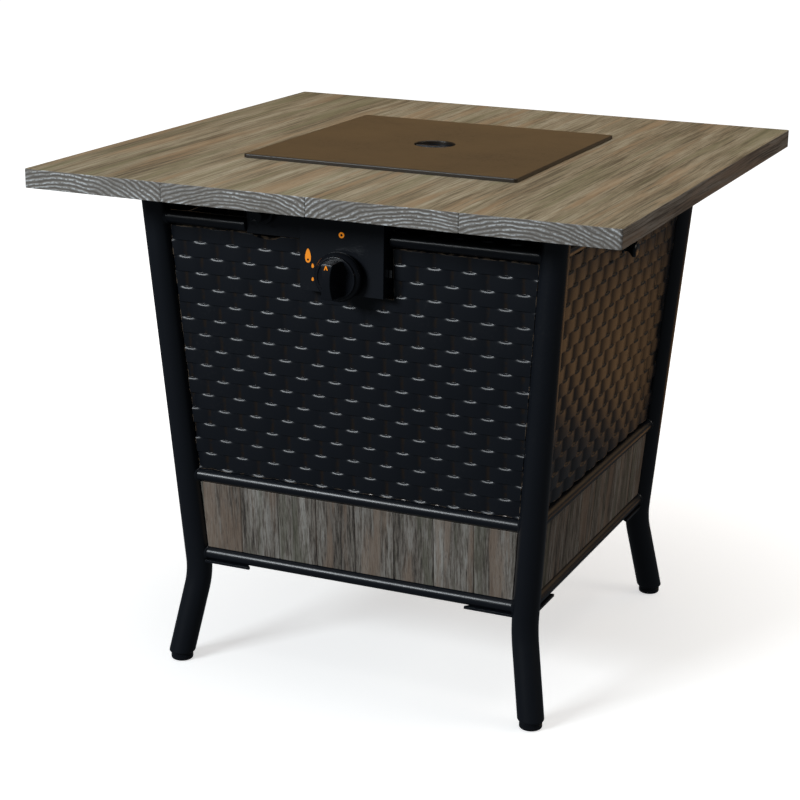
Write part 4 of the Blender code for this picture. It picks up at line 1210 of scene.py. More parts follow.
@dataclass
class WickerPanels:
    """Four pressed basket-weave panels; the right one is the access door."""

    finishes: Finishes
    pitch: float = 42.3 * MM
    course: float = 18.9 * MM
    first_course: float = 255.2 * MM
    relief: float = 1.30 * MM
    crown: float = 0.15 * MM
    roll_height: float = 2.6 * MM
    roll_slope: float = 0.50
    roll_start: float = 0.8 * MM
    wave_power: float = 2.4
    roll_power: float = 2.6
    roll_narrowing: float = 7.2
    step_width: float = 0.9 * MM
    level: float = 0.75 * MM
    columns_per_hump: int = 16
    rows_below: tuple[float, ...] = (-3.9, -3.4, -3.0, -2.6, -1.9, -1.2, -0.45, -0.15)
    rows_above: tuple[float, ...] = (0.15, 0.45, 0.9, 3.5, 7.5, 11.5)
    row_margin: float = 0.4 * MM
    sheet: float = 1.0 * MM
    back: float = -9.9 * MM
    fold: float = 1.1 * MM
    side_gap: float = 1.1 * MM
    window_gap: float = 4.0 * MM
    notch_radius: float = 36.0 * MM
    notch_bite: float = 5.2 * MM
    bottom_gap: float = 1.0 * MM
    door_bottom_gap: float = 4.0 * MM
    top_gap: float = 2.4 * MM
    snug_gap: float = 0.5 * MM

    def height(self, across: float, slope: float) -> float:
        """The weave's relief at a point of a side.

        Args:
            across: the distance along the side.
            slope: the distance up the slope.

        Returns:
            The height out of the panel's middle plane.
        """
        rise = (slope * math.cos(LEAN.angle) - self.first_course) / self.course
        row = math.floor(rise)
        part = rise - row
        half_step = self.step_width / self.course / 2
        here = self._strand(across, row, part)
        if part > 1 - half_step:
            share = (part - 1 + half_step) / (2 * half_step)
            return self._joined(here, self._strand(across, row + 1, 0.0), share)
        if part < half_step:
            share = 0.5 + part / (2 * half_step)
            return self._joined(self._strand(across, row - 1, 1.0), here, share)
        return here

    def _strand(self, across: float, row: int, part: float) -> float:
        """The height of one course's strand, over and under the stakes.

        Args:
            across: the distance along the side.
            row: the course's number.
            part: how far up the course, from 0 to 1.

        Returns:
            The height out of the panel's middle plane.
        """
        shift = 0.5 if row % 2 == 0 else 0.0
        phase = across / self.pitch + shift
        offset = abs(phase - math.floor(phase + 0.5)) * 2
        wave = 1.0 - 2.0 * offset ** self.wave_power
        into_roll = max(0.0, part * self.course - (self.course - self.roll_height))
        if into_roll < self.roll_start:
            eased = into_roll ** 2 / (2 * self.roll_start)
        else:
            eased = into_roll - self.roll_start / 2
        share = max(0.0, 1.0 - self.roll_narrowing * offset ** self.roll_power)
        roll = self.roll_slope * eased * share
        return self.relief * wave + self.crown * (1 - (2 * part - 1) ** 2) - roll

    @staticmethod
    def _joined(below: float, above: float, share: float) -> float:
        """A smooth step between the heights of two courses."""
        eased = share * share * (3 - 2 * share)
        return below + (above - below) * eased

    def _rows(self, low: float, high: float) -> list[float]:
        """Distances up the slope where the sheet has a row of points: close together at each step.

        Args:
            low: the sheet's lower edge.
            high: its upper edge.

        Returns:
            The distances, in order.
        """
        places = set()
        count = math.ceil((LEAN.top_rail - self.first_course) / self.course) + 1
        for index in range(-1, count):
            base = self.first_course + index * self.course
            for offset in (*self.rows_below, *self.rows_above):
                places.add(LEAN.slope(base + offset * MM))
        inside = sorted(p for p in places if low + self.row_margin < p < high - self.row_margin)
        return [low, *inside, high]

    def build(self) -> None:
        """Press the four panels."""
        for side, node, body in (
            (Side.FRONT, "wicker_panel_front", "frame"),
            (Side.BACK, "wicker_panel_back", "frame"),
            (Side.LEFT, "wicker_panel_left", "frame"),
            (Side.RIGHT, "access_door", "door"),
        ):
            below = self.door_bottom_gap if side is Side.RIGHT else self.bottom_gap
            above = self.top_gap if side in (Side.FRONT, Side.RIGHT) else self.snug_gap
            panel = self._panel("woven_" + node, below, above, side is Side.FRONT)
            Bench.move(panel, LEAN.plane(side))
            Bench.finish(panel, self.finishes.wicker, body, "black_wicker", node)

    def _panel(self, name: str, below: float, above: float, opened: bool) -> bpy.types.Object:
        """One woven pan in its side's own frame.

        Args:
            name: the piece's name.
            below: the gap over the middle rail.
            above: the gap under the top rail.
            opened: whether it is cut out for the controls.

        Returns:
            The pan, closed and smooth.
        """
        low = LEAN.slope(LEAN.middle_rail) + LEAN.rail_radius + below
        high = LEAN.slope(LEAN.top_rail) - LEAN.rail_radius - above
        rows = self._rows(low, high)
        step = self.pitch / self.columns_per_hump
        half_columns = math.ceil(LEAN.half_width(high, self.side_gap) / step) + 1
        Bench.clear()
        bpy.ops.mesh.primitive_grid_add(
            x_subdivisions=2 * half_columns, y_subdivisions=len(rows) - 1, size=1.0
        )
        panel = Bench.named(name)
        width = 2 * half_columns + 1
        # The 'low' attribute says how deep each point lies; the coat paints its brown reflection there.
        low_places = panel.data.attributes.new("low", "FLOAT", "POINT")
        for index, vertex in enumerate(panel.data.vertices):
            across = (index % width - half_columns) * step
            slope = rows[index // width]
            rise = self.height(across, slope)
            vertex.co = (across, slope, self.level + rise)
            low_places.data[index].value = max(0.0, -rise / self.relief)
        edge = [LEAN.half_width(slope, self.side_gap) for slope in (low, high)]
        rise = Vector((edge[1] - edge[0], high - low, 0)).normalized()
        with Bench.editing(panel):
            for sign in (-1, 1):
                bpy.ops.mesh.select_all(action="SELECT")
                normal = (sign * rise.y, -rise.x, 0)
                bpy.ops.mesh.bisect(plane_co=(sign * edge[0], low, 0), plane_no=normal, clear_outer=True)
        if opened:
            self._open_window(panel)
            self._open_notch(panel, high)
        self._fold(panel)
        Bench.modify(panel, "SOLIDIFY", thickness=self.sheet, offset=-1.0, use_even_offset=False)
        Bench.smooth(panel, 65.0)
        return panel

    def _fold(self, panel: bpy.types.Object) -> None:
        """Fold the sheet's border back into a flange, and store where the border is.

        Args:
            panel: the sheet.
        """
        with Bench.editing(panel, "EDGE"):
            work = bmesh.from_edit_mesh(panel.data)
            # The 'border' layer marks the rim where the coat paints its highlight.
            border = work.verts.layers.float.new("border")
            for vertex in work.verts:
                vertex[border] = float(vertex.is_boundary)
            bmesh.update_edit_mesh(panel.data)
            Bench.select(panel, "edges", lambda edge: edge.is_boundary)
            for deepest in (self.level - self.relief - self.fold, self.back):
                bpy.ops.mesh.extrude_region_move(TRANSFORM_OT_translate={"value": (0, 0, -self.fold)})
                work = bmesh.from_edit_mesh(panel.data)
                for vertex in work.verts:
                    if vertex.select:
                        vertex.co.z = min(vertex.co.z, deepest)
                bmesh.update_edit_mesh(panel.data)

    @staticmethod
    def _remove(
        panel: bpy.types.Object, cuts: Sequence[tuple[Point, Point]], near: Callable, inside: Callable
    ) -> None:
        """Cut the sheet along planes and take away what is inside them.

        Args:
            panel: the sheet.
            cuts: a point and a normal for each plane.
            near: says whether a face is close enough to be cut.
            inside: says whether a face is taken away.
        """
        with Bench.editing(panel):
            for point, normal in cuts:
                Bench.select(panel, "faces", near)
                bpy.ops.mesh.bisect(plane_co=point, plane_no=normal)
            Bench.select(panel, "faces", inside)
            bpy.ops.mesh.delete(type="FACE")

    def _open_window(self, panel: bpy.types.Object) -> None:
        """Cut the sheet out round the control box.

        Args:
            panel: the sheet.
        """
        box_low, box_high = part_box("control_panel")
        half = box_high.x + self.window_gap
        floor = LEAN.slope(box_low.z - self.window_gap)
        cuts = (((-half, 0, 0), (1, 0, 0)), ((half, 0, 0), (1, 0, 0)), ((0, floor, 0), (0, 1, 0)))

        def near(face: bmesh.types.BMFace) -> bool:
            """Whether a face is round the window."""
            middle = face.calc_center_median()
            return abs(middle.x) < half + self.course and middle.y > floor - self.course

        def inside(face: bmesh.types.BMFace) -> bool:
            """Whether a face is in the window."""
            middle = face.calc_center_median()
            return abs(middle.x) < half and middle.y > floor

        self._remove(panel, cuts, near, inside)

    def _open_notch(self, panel: bpy.types.Object, high: float) -> None:
        """Cut a shallow arc out of the sheet's upper edge, under the igniter.

        Args:
            panel: the sheet.
            high: its upper edge.
        """
        low_corner, high_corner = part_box("igniter_body")
        across = (low_corner.x + high_corner.x) / 2
        middle = Vector((across, high + self.notch_radius - self.notch_bite, 0))
        steps = 16
        half = math.acos(1 - self.notch_bite / self.notch_radius)
        chord = self.notch_radius * math.cos(half / steps)
        cuts = []
        for step in range(steps):
            turn = half * (2 * (step + 0.5) / steps - 1)
            out = Vector((math.sin(turn), -math.cos(turn), 0))
            cuts.append((tuple(middle + out * chord), tuple(out)))

        def near(face: bmesh.types.BMFace) -> bool:
            """Whether a face is round the notch."""
            place = face.calc_center_median()
            return abs(place.x - across) < self.notch_radius and place.y > high - 2 * self.notch_bite

        def inside(face: bmesh.types.BMFace) -> bool:
            """Whether a face is in the notch."""
            place = Vector((*face.calc_center_median().xy, 0))
            return all((place - Vector(point)).dot(Vector(normal)) < 0 for point, normal in cuts)

        self._remove(panel, cuts, near, inside)


@dataclass
class Woodwork:
    """The tabletop and the plank skirts."""

    finishes: Finishes
    arris: float = 1.6 * MM
    corner: float = 3.0 * MM
    opening: float = 322.0 * MM
    opening_corner: float = 8.0 * MM
    joint_width: float = 1.3 * MM
    joint_depth: float = 1.1 * MM
    frame_width: float = 20.0 * MM
    end_tilt: float = 0.50
    edge_tilt: float = 0.72
    edge_band: float = 4.0 * MM

    def build(self) -> None:
        """Make the top and dress the skirts."""
        self._top()
        for side in Side:
            node = "skirt_" + side.label
            skirt = Bench.copied(node, "planks_" + side.label)
            Bench.soften(skirt, 0.6 * MM, 2, 20.0)
            wood = self.finishes.skirt_x if side in (Side.FRONT, Side.BACK) else self.finishes.skirt_y
            Bench.finish(skirt, wood, "frame", "weathered_skirt", node)

    def _top(self) -> None:
        """The board: a block with softened corners, an opening over the bowl and notched plank joints."""
        low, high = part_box("tabletop")
        top = Bench.block("board_top", low, high)
        Bench.round_uprights(top, self.corner, 4)
        half = self.opening / 2
        tool = Bench.block("opening_tool", (-half, -half, low.z - MM), (half, half, high.z + MM))
        Bench.round_uprights(tool, self.opening_corner, 5)
        Bench.carve(top, tool)
        for index in (-1, 0, 1):
            for face in (low.y, high.y):
                spot = index * TOP_PLANK
                joint = Bench.bar(
                    "joint_tool", Vector((spot, face, low.z - MM)), Vector((spot, face, high.z + MM)), MM, 4
                )
                for vertex in joint.data.vertices:
                    vertex.co.x = spot + (vertex.co.x - spot) * self.joint_width / 2 / MM
                    vertex.co.y = face + (vertex.co.y - face) * self.joint_depth / MM
                Bench.carve(top, joint)
        Bench.soften(top, self.arris, 3, 50.0)
        Bench.dress(top, self.finishes.top_face, self.finishes.top_end, self.finishes.top_edge)
        for face in top.data.polygons:
            outside = max(abs(face.center.x), abs(face.center.y)) > half + self.frame_width
            if outside and abs(face.normal.y) > self.end_tilt:
                face.material_index = 1
            elif abs(face.normal.x) > self.edge_tilt and abs(face.center.x) > high.x - self.edge_band:
                face.material_index = 2
        Bench.hand_over(top, "frame", "weathered_top", "tabletop")


@dataclass
class Lid:
    """The lift-off lid with its finger cup and bar."""

    finishes: Finishes
    corner: float = 4.0 * MM
    edge: float = 1.4 * MM
    sheet: float = 1.2 * MM
    rim_angle: float = 1.0
    cup_radius: float = 25.0 * MM
    cup_sheet: float = 1.0 * MM
    bar_radius: float = 3.5 * MM
    body: str = "lid"

    def build(self) -> None:
        """Press the lid, turn the cup and put the bar across it."""
        low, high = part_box("lid")
        cover = Bench.block("cover_lid", low, high)
        Bench.round_uprights(cover, self.corner, 5)
        ends = [Vector((0, 0, z)) for z in (low.z - CLEAR, high.z + CLEAR)]
        tool = Bench.bar("cup_tool", ends[0], ends[1], self.cup_radius, 64)
        Bench.carve(cover, tool)
        with Bench.editing(cover):
            Bench.select(cover, "faces", lambda face: face.normal.z < -0.9)
            bpy.ops.mesh.delete(type="FACE")
        with Bench.editing(cover, "EDGE"):
            Bench.select(cover, "edges", lambda edge: self._is_rim(edge, high.z - MM))
            bpy.ops.mesh.bevel(offset=self.edge, segments=4)
        Bench.modify(cover, "SOLIDIFY", thickness=self.sheet, offset=-1.0, use_even_offset=True)
        Bench.smooth(cover, 50.0, level=True)
        Bench.finish(cover, self.finishes.lid, self.body, "bronze_lid", "lid")

        self._cup()
        bar_low, bar_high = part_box("lid_bar")
        height = (bar_low.z + bar_high.z) / 2
        ends = [Vector((x, 0, height)) for x in (bar_low.x, bar_high.x)]
        bar = Bench.bar("finger_bar", ends[0], ends[1], self.bar_radius, 32)
        Bench.soften(bar, 0.5 * MM, 2, 60.0)
        Bench.finish(bar, self.finishes.coat, self.body, "black_steel", "lid_bar")

    def _is_rim(self, edge: bmesh.types.BMEdge, level: float) -> bool:
        """Whether an edge is a sharp one above a level.

        Args:
            edge: the edge.
            level: the lowest height that counts.

        Returns:
            True for an edge of the lid's upper face or of its finger hole.
        """
        return edge.calc_face_angle(0.0) > self.rim_angle and all(v.co.z > level for v in edge.verts)

    def _cup(self) -> None:
        """Turn the finger cup under the lid's hole."""
        cup_low, cup_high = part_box("lid_cup")
        radius = self.cup_radius
        sheet = self.cup_sheet
        bottom = cup_low.z
        profile = [
            (0, bottom),
            (radius * 0.82, bottom),
            (radius - 0.5 * sheet, bottom + 1.0 * sheet),
            (radius + sheet, bottom + 3.2 * sheet),
            (radius + sheet, cup_high.z - sheet),
            (radius + 5 * sheet, cup_high.z - sheet),
            (radius + 5 * sheet, cup_high.z),
            (radius, cup_high.z),
            (radius, bottom + 4.0 * sheet),
            (radius - 1.2 * sheet, bottom + 2.0 * sheet),
            (radius * 0.80, bottom + sheet),
            (0, bottom + sheet),
        ]
        cup = Bench.lathe("finger_cup", profile, Matrix.Identity(4), 72)
        Bench.finish(cup, self.finishes.coat, self.body, "black_steel", "lid_cup")


def facing_front(depth: float, height: float, side: float = 0.0) -> Matrix:
    """A frame whose +Z points out of the front, at a distance from the centre plane."""
    return Matrix.Translation((side, -depth, height)) @ Matrix.Rotation(math.pi / 2, 4, "X")


@dataclass
class Controls:
    """The control box, the knob, the igniter and the printed marks."""

    finishes: Finishes
    skirt_radius: float = 28.5 * MM
    face_radius: float = 22.5 * MM
    skirt_depth: float = 11.0 * MM
    grip_half: float = 22.0 * MM
    grip_width: float = 15.0 * MM
    grip_waist: float = 9.6 * MM
    grip_edge: float = 1.1 * MM
    print_depth: float = 0.12 * MM
    pointer_size: float = 5.0 * MM
    pointer_line: float = 1.4 * MM
    pointer_inset: float = 8.0 * MM
    drop_steps: int = 28
    ring_outer: float = 3.4 * MM
    ring_inner: float = 1.5 * MM
    ring_height: float = 46.0 * MM
    flame_height: float = 18.5 * MM
    flame_side: float = -41.7 * MM
    drops_side: float = -35.8 * MM
    igniter_face: float = 250.3 * MM
    igniter_bore: float = 6.8 * MM
    igniter_neck: float = 8.6 * MM
    wing_sheet: float = 1.5 * MM

    def build(self) -> None:
        """Make the pieces of the control side."""
        box = Bench.copied("control_panel", "control_box")
        Bench.soften(box, 0.9 * MM, 3)
        Bench.finish(box, self.finishes.coat, "frame", "black_steel", "control_panel")
        clip = Bench.copied("panel_clip", "edge_clip")
        Bench.soften(clip, 0.3 * MM, 2)
        Bench.finish(clip, self.finishes.steel, "frame", "bare_steel", "panel_clip")
        self._knob()
        self._igniter()
        self._marks()

    def _knob(self) -> None:
        """The knob: a turned skirt with a dished face, and a waisted grip bar across it."""
        low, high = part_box("control_knob")
        depth = high.y - low.y
        frame_at = facing_front(-high.y, (low.z + high.z) / 2)
        s, f, d = self.skirt_radius, self.face_radius, self.skirt_depth
        profile = [
            (0, 0),
            (s * 0.965, 0),
            (s * 0.99, 0.5 * MM),
            (s, 1.4 * MM),
            (s, d * 0.40),
            (s * 0.985, d * 0.50),
            (f * 1.15, d * 0.72),
            (f * 1.10, d * 0.80),
            (f * 1.09, d * 0.93),
            (f * 1.07, d * 1.00),
            (f * 1.02, d * 1.03),
            (f * 0.97, d * 1.01),
            (f * 0.93, d * 0.93),
            (f * 0.60, d * 0.88),
            (0, d * 0.86),
        ]
        knob = Bench.lathe("gas_knob", profile, Matrix.Identity(4), 96)
        grip = self._grip(d * 0.5, depth)
        Bench.carve(knob, grip, "UNION")
        Bench.smooth(knob, 32.0)
        Bench.move(knob, frame_at)
        Bench.finish(knob, self.finishes.plastic, "knob", "black_plastic", "control_knob")
        pointer = self._chevron("pointer_mark", self.pointer_size, self.pointer_size, self.pointer_line)
        top = self.grip_half - self.pointer_inset
        spot = frame_at @ Matrix.Translation((0, top, depth - 0.02 * MM))
        Bench.move(pointer, spot)
        Bench.finish(pointer, self.finishes.print, "knob", "black_plastic")

    def _grip(self, low: float, high: float) -> bpy.types.Object:
        """The grip bar, narrow at its waist and wide at its ends, with a crowned front.

        Args:
            low: its foot, measured from the knob's back.
            high: its front.

        Returns:
            The bar, to be joined to the knob.
        """
        grip = Bench.block(
            "grip_tool",
            (-self.grip_width / 2, -self.grip_half, low),
            (self.grip_width / 2, self.grip_half, high),
        )
        with Bench.editing(grip, "EDGE"):
            bpy.ops.mesh.select_all(action="SELECT")
            bpy.ops.mesh.subdivide(number_cuts=11)
        for vertex in grip.data.vertices:
            t = vertex.co.y / self.grip_half
            lift = (vertex.co.z - low) / (high - low)
            waist = self.grip_waist + (self.grip_width - self.grip_waist) * abs(t) ** 2.2
            spread = 1.0 + 0.30 * (1 - lift)
            vertex.co.x *= waist / self.grip_width * spread
            side = vertex.co.x / (self.grip_width / 2)
            vertex.co.y *= 1.0 - 0.06 * lift - 0.05 * side * side
            vertex.co.z -= lift * 1.5 * MM * t * t
        Bench.bevel(grip, self.grip_edge, 3, 45.0)
        return grip

    def _chevron(self, name: str, width: float, height: float, line: float) -> bpy.types.Object:
        """A flat pointer mark, drawn as two strokes that meet at the top.

        Args:
            name: the piece's name.
            width: its width.
            height: its height.
            line: the thickness of a stroke.

        Returns:
            The mark, lying on the XY plane.
        """
        outline = [
            (-width / 2, 0),
            (-width / 2 + line, 0),
            (0, height - line * 1.5),
            (width / 2 - line, 0),
            (width / 2, 0),
            (line * 0.4, height),
            (-line * 0.4, height),
        ]
        return self._print(name, outline)

    def _drop(self, name: str, width: float, height: float, taper: float) -> bpy.types.Object:
        """A flat drop, broad below and narrow above.

        Args:
            name: the piece's name.
            width: half its width, about.
            height: half its height.
            taper: how much narrower its upper part is.

        Returns:
            The mark, lying on the XY plane.
        """
        turns = [2 * math.pi * step / self.drop_steps for step in range(self.drop_steps)]
        outline = [
            (width * math.sin(turn) * (1 - taper * math.cos(turn)), height * math.cos(turn))
            for turn in turns
        ]
        return self._print(name, outline[::-1])

    def _print(self, name: str, outline: Sequence[tuple[float, float]]) -> bpy.types.Object:
        """A flat printed shape with a little thickness.

        Args:
            name: the piece's name.
            outline: its closed outline on the XY plane.

        Returns:
            The print.
        """
        mesh = bpy.data.meshes.new(name)
        mesh.from_pydata([(x, y, 0.0) for x, y in outline], [], [list(range(len(outline)))])
        piece = bpy.data.objects.new(name, mesh)
        bpy.context.scene.collection.objects.link(piece)
        Bench.modify(piece, "SOLIDIFY", thickness=self.print_depth, offset=1.0)
        Bench.tidy(piece)
        return piece

    def _marks(self) -> None:
        """The printed marks on the control box: an off ring, a flame and two small dial marks."""
        low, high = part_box("control_panel")
        knob_low, knob_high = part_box("control_knob")
        axis = (knob_low.z + knob_high.z) / 2
        face = -low.y + 0.01 * MM
        Bench.clear()
        bpy.ops.mesh.primitive_cylinder_add(vertices=40, radius=self.ring_outer, depth=self.print_depth)
        ring = Bench.named("off_mark")
        ends = [Vector((0, 0, z)) for z in (-CLEAR, CLEAR)]
        tool = Bench.bar("ring_tool", ends[0], ends[1], self.ring_inner, 40)
        Bench.carve(ring, tool)
        Bench.move(ring, facing_front(face, axis + self.ring_height))
        Bench.finish(ring, self.finishes.print, "frame", "black_steel")

        flame_mark = self._drop("flame_mark", 3.5 * MM, 8.2 * MM, 0.34)
        ends = [Vector((0, -4.6 * MM, z)) for z in (-CLEAR, CLEAR)]
        tool = Bench.bar("heart_tool", ends[0], ends[1], 1.3 * MM, 24)
        Bench.carve(flame_mark, tool)
        Bench.move(flame_mark, facing_front(face, axis + self.flame_height, self.flame_side))
        Bench.finish(flame_mark, self.finishes.print, "frame", "black_steel")

        for name, height, size in (("high_mark", 7.5 * MM, 1.5 * MM), ("low_mark", -8.0 * MM, 1.3 * MM)):
            mark = self._drop(name, size, 1.7 * size, 0.35)
            Bench.move(mark, facing_front(face, axis + height, self.drops_side))
            Bench.finish(mark, self.finishes.print, "frame", "black_steel")

    def _igniter(self) -> None:
        """The igniter's body with its collar, and the push button."""
        low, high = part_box("igniter_body")
        centre_x = (low.x + high.x) / 2
        height = (low.z + high.z) / 2
        collar = (high.x - low.x) / 2
        face = self.igniter_face
        depth = -low.y - face
        behind = -(self.wing_sheet + 0.6 * MM)
        tail = -(face + high.y) + 0.2 * MM
        bore = self.igniter_bore
        profile = [
            (0, tail),
            (collar * 0.60, tail),
            (collar * 0.72, tail + 1.2 * MM),
            (collar * 0.78, tail + 6 * MM),
            (collar * 0.80, behind),
            (self.igniter_neck, behind),
            (self.igniter_neck, 0),
            (collar - 0.4 * MM, 0),
            (collar, 0.5 * MM),
            (collar, depth * 0.70),
            (collar - 0.5 * MM, depth * 0.86),
            (collar - 1.6 * MM, depth * 0.98),
            (collar - 2.6 * MM, depth),
            (bore + 0.6 * MM, depth),
            (bore, depth - 0.6 * MM),
            (bore, -4.9 * MM),
            (0, -4.9 * MM),
        ]
        body = Bench.lathe("igniter_collar", profile, facing_front(face, height, centre_x), 64)
        Bench.finish(body, self.finishes.plastic, "frame", "black_plastic", "igniter_body")

        low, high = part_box("igniter_button")
        cap = (high.x - low.x) / 2
        start = -high.y
        front = -low.y - start
        shoulder = front - 15.0 * MM
        profile = [
            (0, 0),
            (6.3 * MM, 0),
            (6.5 * MM, 0.3 * MM),
            (6.5 * MM, shoulder),
            (cap - 0.4 * MM, shoulder),
            (cap, shoulder + 0.5 * MM),
            (cap, front - 2.2 * MM),
            (cap - 0.6 * MM, front - 0.8 * MM),
            (cap - 1.8 * MM, front - 0.1 * MM),
            (cap - 2.6 * MM, front),
            (cap * 0.5, front - 0.7 * MM),
            (0, front - 0.9 * MM),
        ]
        button = Bench.lathe("push_button", profile, facing_front(start, height, centre_x), 64)
        Bench.finish(button, self.finishes.plastic, "igniter", "black_plastic", "igniter_button")


@dataclass
class DoorFittings:
    """The door's pull knob."""

    finishes: Finishes
    depth: float = 18.0 * MM
    standoff: float = 2.3 * MM

    def build(self) -> None:
        """Turn the pull knob on the door's face."""
        low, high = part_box("door_knob")
        radius = (high.y - low.y) / 2
        plane = LEAN.plane(Side.RIGHT)
        local = plane.inverted() @ Vector(((low.x + high.x) / 2, 0, (low.z + high.z) / 2))
        profile = [
            (0, 0),
            (radius * 0.76, 0),
            (radius * 0.78, 0.8 * MM),
            (radius * 0.70, 1.7 * MM),
            (radius * 0.50, 2.8 * MM),
            (radius * 0.44, 4.5 * MM),
            (radius * 0.46, 7.0 * MM),
            (radius * 0.66, 9.6 * MM),
            (radius * 0.92, 12.0 * MM),
            (radius, 13.6 * MM),
            (radius * 0.98, 15.4 * MM),
            (radius * 0.86, 17.0 * MM),
            (radius * 0.62, 17.8 * MM),
            (0, self.depth),
        ]
        spot = plane @ Matrix.Translation((0, local.y, self.standoff))
        knob = Bench.lathe("pull_knob", profile, spot, 48)
        Bench.finish(knob, self.finishes.plastic, "door", "black_plastic", "door_knob")


@dataclass
class FireBed:
    """The bowl, the grate and the lava rocks."""

    finishes: Finishes
    rocks_per_side: int = 11
    seed: int = 11
    girth: tuple[float, float] = (0.46, 0.56)
    tallness: tuple[float, float] = (0.72, 0.98)
    jitter: float = 0.1

    def build(self) -> None:
        """Dress the bowl and the grate, and lay the rocks."""
        for node, name, width in (
            ("fire_bowl", "pressed_bowl", 0.8 * MM),
            ("grate", "slotted_grate", 0.5 * MM),
        ):
            piece = Bench.copied(node, name)
            Bench.soften(piece, width, 2)
            Bench.finish(piece, self.finishes.coat, "frame", "black_steel", node)
        self._rocks()

    def _rocks(self) -> None:
        """Lay rough stones of mixed sizes side by side, all within the bed's box."""
        chance = random.Random(self.seed)
        low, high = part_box("lava_rocks")
        pitch = (high.x - low.x) / self.rocks_per_side
        room = high.z - low.z
        stones = []
        for column in range(self.rocks_per_side):
            for row in range(self.rocks_per_side):
                size = pitch * chance.uniform(*self.girth)
                tall = room / 2 * chance.uniform(*self.tallness)
                x = low.x + (column + 0.5) * pitch + chance.uniform(-self.jitter, self.jitter) * pitch
                y = low.y + (row + 0.5) * pitch + chance.uniform(-self.jitter, self.jitter) * pitch
                x = min(max(x, low.x + size), high.x - size)
                y = min(max(y, low.y + size), high.y - size)
                Bench.clear()
                bpy.ops.mesh.primitive_ico_sphere_add(subdivisions=3, radius=1.0)
                stone = Bench.named("stone")
                away = Vector((column * 7.3, row * 5.1, 3.7))
                for vertex in stone.data.vertices:
                    rough = 0.80 + 0.28 * noise.noise(vertex.co * 1.6 + away)
                    rough += 0.12 * noise.noise(vertex.co * 5.0 + away)
                    vertex.co *= min(rough, 1.0)
                turn = Matrix.Rotation(chance.uniform(0, math.pi), 4, "Z")
                scale = Matrix.Diagonal((size, size * chance.uniform(0.8, 1.0), tall, 1))
                Bench.move(stone, Matrix.Translation((x, y, low.z + tall)) @ turn @ scale)
                stones.append(stone)
        Bench.clear()
        for stone in stones:
            stone.select_set(True)
        bpy.context.view_layer.objects.active = stones[0]
        bpy.ops.object.join()
        bed = Bench.named("rock_bed")
        Bench.smooth(bed, 45.0)
        Bench.finish(bed, self.finishes.rock, "frame", "lava", "lava_rocks")


@dataclass
class KeptNodes:
    """The CAD nodes whose shape is right: each gets its finish."""

    finishes: Finishes

    def build(self) -> None:
        """Give every CAD node the finish of its slot."""
        for entry in frame["record"]["subparts"]:
            node = frame["nodes"][entry["node"]]
            node.data.materials.clear()
            node.data.materials.append(self.finishes.by_slot[entry["material_slot"]])
            LOG.info("%s keeps its shape, in %s", entry["node"], entry["material_slot"])


# ---------------------------------------------------------------- studio


@dataclass(frozen=True)
class Softbox:
    """One area light."""

    name: str
    place: Point
    aim: Point
    size: tuple[float, float]
    power: float
    colour: Colour

    def hang(self) -> None:
        """Hang the light, out of the camera's sight."""
        data = bpy.data.lights.new(self.name, "AREA")
        data.shape = "RECTANGLE"
        data.size, data.size_y = self.size
        data.energy = self.power
        data.color = self.colour
        lamp = bpy.data.objects.new(self.name, data)
        bpy.context.scene.collection.objects.link(lamp)
        lamp.location = self.place
        lamp.rotation_euler = (Vector(self.aim) - Vector(self.place)).to_track_quat("-Z", "Y").to_euler()
        lamp.visible_camera = False


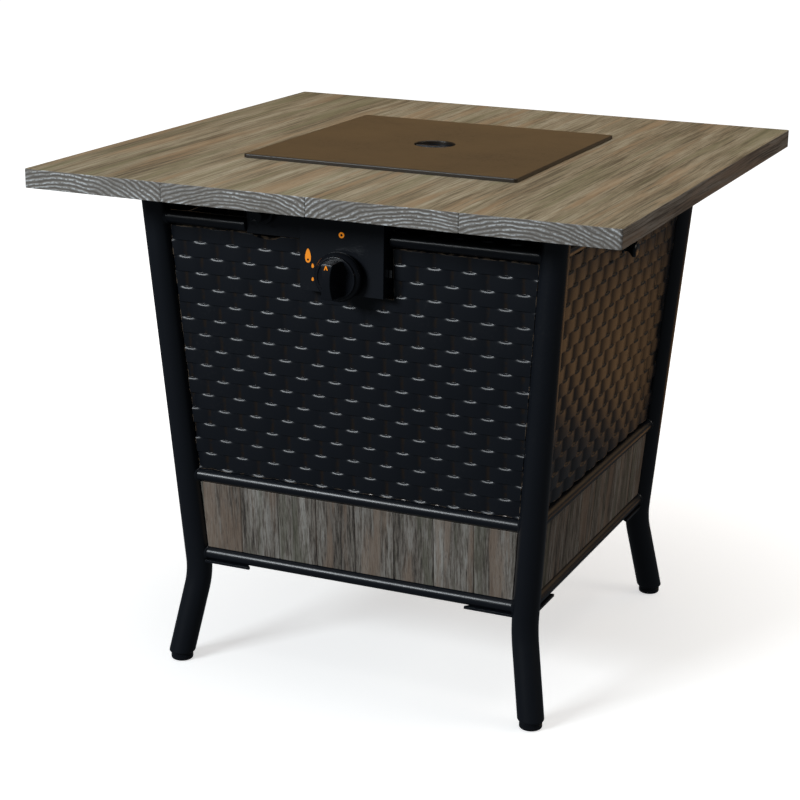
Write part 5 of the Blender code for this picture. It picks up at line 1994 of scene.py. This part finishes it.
@dataclass
class Studio:
    """Camera, lights, world and floor."""

    place: Point = (0.9478, -2.2538, 1.0411)
    yaw: float = 0.4006
    pitch: float = -0.2961
    roll: float = 0.0176
    lens: float = 90.39
    shift: tuple[float, float] = (-0.0314, 0.0096)
    room_tint: Colour = (0.80, 0.90, 1.0)
    room_strength: float = 0.06
    floor_shade: float = 0.62
    floor_pool: tuple[float, float] = (0.3, 1.6)
    boxes: tuple[Softbox, ...] = (
        Softbox("key", (-1.6, -3.2, 2.0), (0.0, 0.0, 0.4), (1.3, 0.8), 80.0, (0.90, 0.96, 1.0)),
        Softbox("over", (0.2, -0.1, 3.2), (0.0, 0.0, 0.5), (2.6, 2.6), 38.0, (1.0, 0.99, 0.97)),
        Softbox("fill_right", (3.3, 0.5, 1.7), (0.0, 0.0, 0.35), (1.6, 1.2), 14.0, (1.0, 0.92, 0.82)),
        Softbox("warm_side", (1.3, 2.2, 1.9), (0.3, 0.0, 0.4), (1.5, 2.4), 4.2, (1.0, 0.60, 0.24)),
        Softbox("warm_floor", (0.75, 1.36, 0.01), (0.75, 1.36, 1.0), (0.9, 1.1), 1.15, (1.0, 0.50, 0.14)),
        Softbox("warm_back", (-0.95, 2.3, 1.35), (0.0, 0.0, 0.63), (1.8, 1.3), 2.65, (1.0, 0.56, 0.16)),
    )

    def build(self) -> None:
        """Set up everything that isn't the object."""
        self._camera()
        self._world()
        self._floor()
        for box in self.boxes:
            box.hang()

    def _camera(self) -> None:
        """Stand the camera where the view is taken from."""
        scene = bpy.context.scene
        data = bpy.data.cameras.new("view")
        data.lens = self.lens
        data.sensor_width = 36.0
        data.shift_x, data.shift_y = self.shift
        data.clip_end = 60.0
        camera = bpy.data.objects.new("view", data)
        scene.collection.objects.link(camera)
        ahead = Vector((
            -math.sin(self.yaw) * math.cos(self.pitch),
            math.cos(self.yaw) * math.cos(self.pitch),
            math.sin(self.pitch),
        ))
        right = Vector((math.cos(self.yaw), math.sin(self.yaw), 0))
        up = right.cross(ahead)
        level = math.cos(self.roll) * right + math.sin(self.roll) * up
        rise = math.cos(self.roll) * up - math.sin(self.roll) * right
        turn = Matrix((level, rise, -ahead)).transposed().to_4x4()
        camera.matrix_world = Matrix.Translation(self.place) @ turn
        scene.camera = camera
        scene.view_settings.view_transform = "Standard"

    def _world(self) -> None:
        """A white room that lights softly."""
        world = bpy.data.worlds.new("room")
        world.use_nodes = True
        nodes, links = world.node_tree.nodes, world.node_tree.links
        soft = nodes["Background"]
        soft.inputs[0].default_value = (*self.room_tint, 1.0)
        soft.inputs[1].default_value = self.room_strength
        plain = nodes.new("ShaderNodeBackground")
        plain.inputs[0].default_value = (1.0, 1.0, 1.0, 1.0)
        path = nodes.new("ShaderNodeLightPath")
        mix = nodes.new("ShaderNodeMixShader")
        links.new(path.outputs["Is Camera Ray"], mix.inputs[0])
        links.new(soft.outputs[0], mix.inputs[1])
        links.new(plain.outputs[0], mix.inputs[2])
        links.new(mix.outputs[0], nodes["World Output"].inputs[0])
        bpy.context.scene.world = world

    def _floor(self) -> None:
        """A plain pale floor that glows, with painted shade: its glow is dimmer under the table."""
        Bench.clear()
        bpy.ops.mesh.primitive_plane_add(size=60.0, location=(0, 0, -0.0005))
        floor = Bench.named("studio_floor")
        recipe = Recipe("floor_paint", (0.92, 0.92, 0.92), 0.9)
        recipe.shader.inputs["Specular IOR Level"].default_value = 0.0
        x, y, _ = recipe.axes()
        # Painted shade: the glow falls to floor_shade near the table and rises to full white further out.
        away = (x * x + y * y).root().between(*self.floor_pool)
        glow_with_painted_shade = recipe.mix((self.floor_shade,) * 3, (1.0, 1.0, 1.0), away)
        recipe.feed("Emission Color", glow_with_painted_shade)
        recipe.shader.inputs["Emission Strength"].default_value = 1.0
        floor.data.materials.append(recipe.material)
        floor.visible_glossy = False
        floor.visible_diffuse = False


def main() -> None:
    """Build the table and its studio."""
    logging.basicConfig(level=logging.INFO, format="%(name)s: %(message)s")
    finishes = Finishes()
    for part in (
        KeptNodes(finishes),
        Legs(finishes),
        WickerPanels(finishes),
        Woodwork(finishes),
        Lid(finishes),
        Controls(finishes),
        DoorFittings(finishes),
        FireBed(finishes),
        Studio(),
    ):
        part.build()


if __name__ == "__main__":
    main()
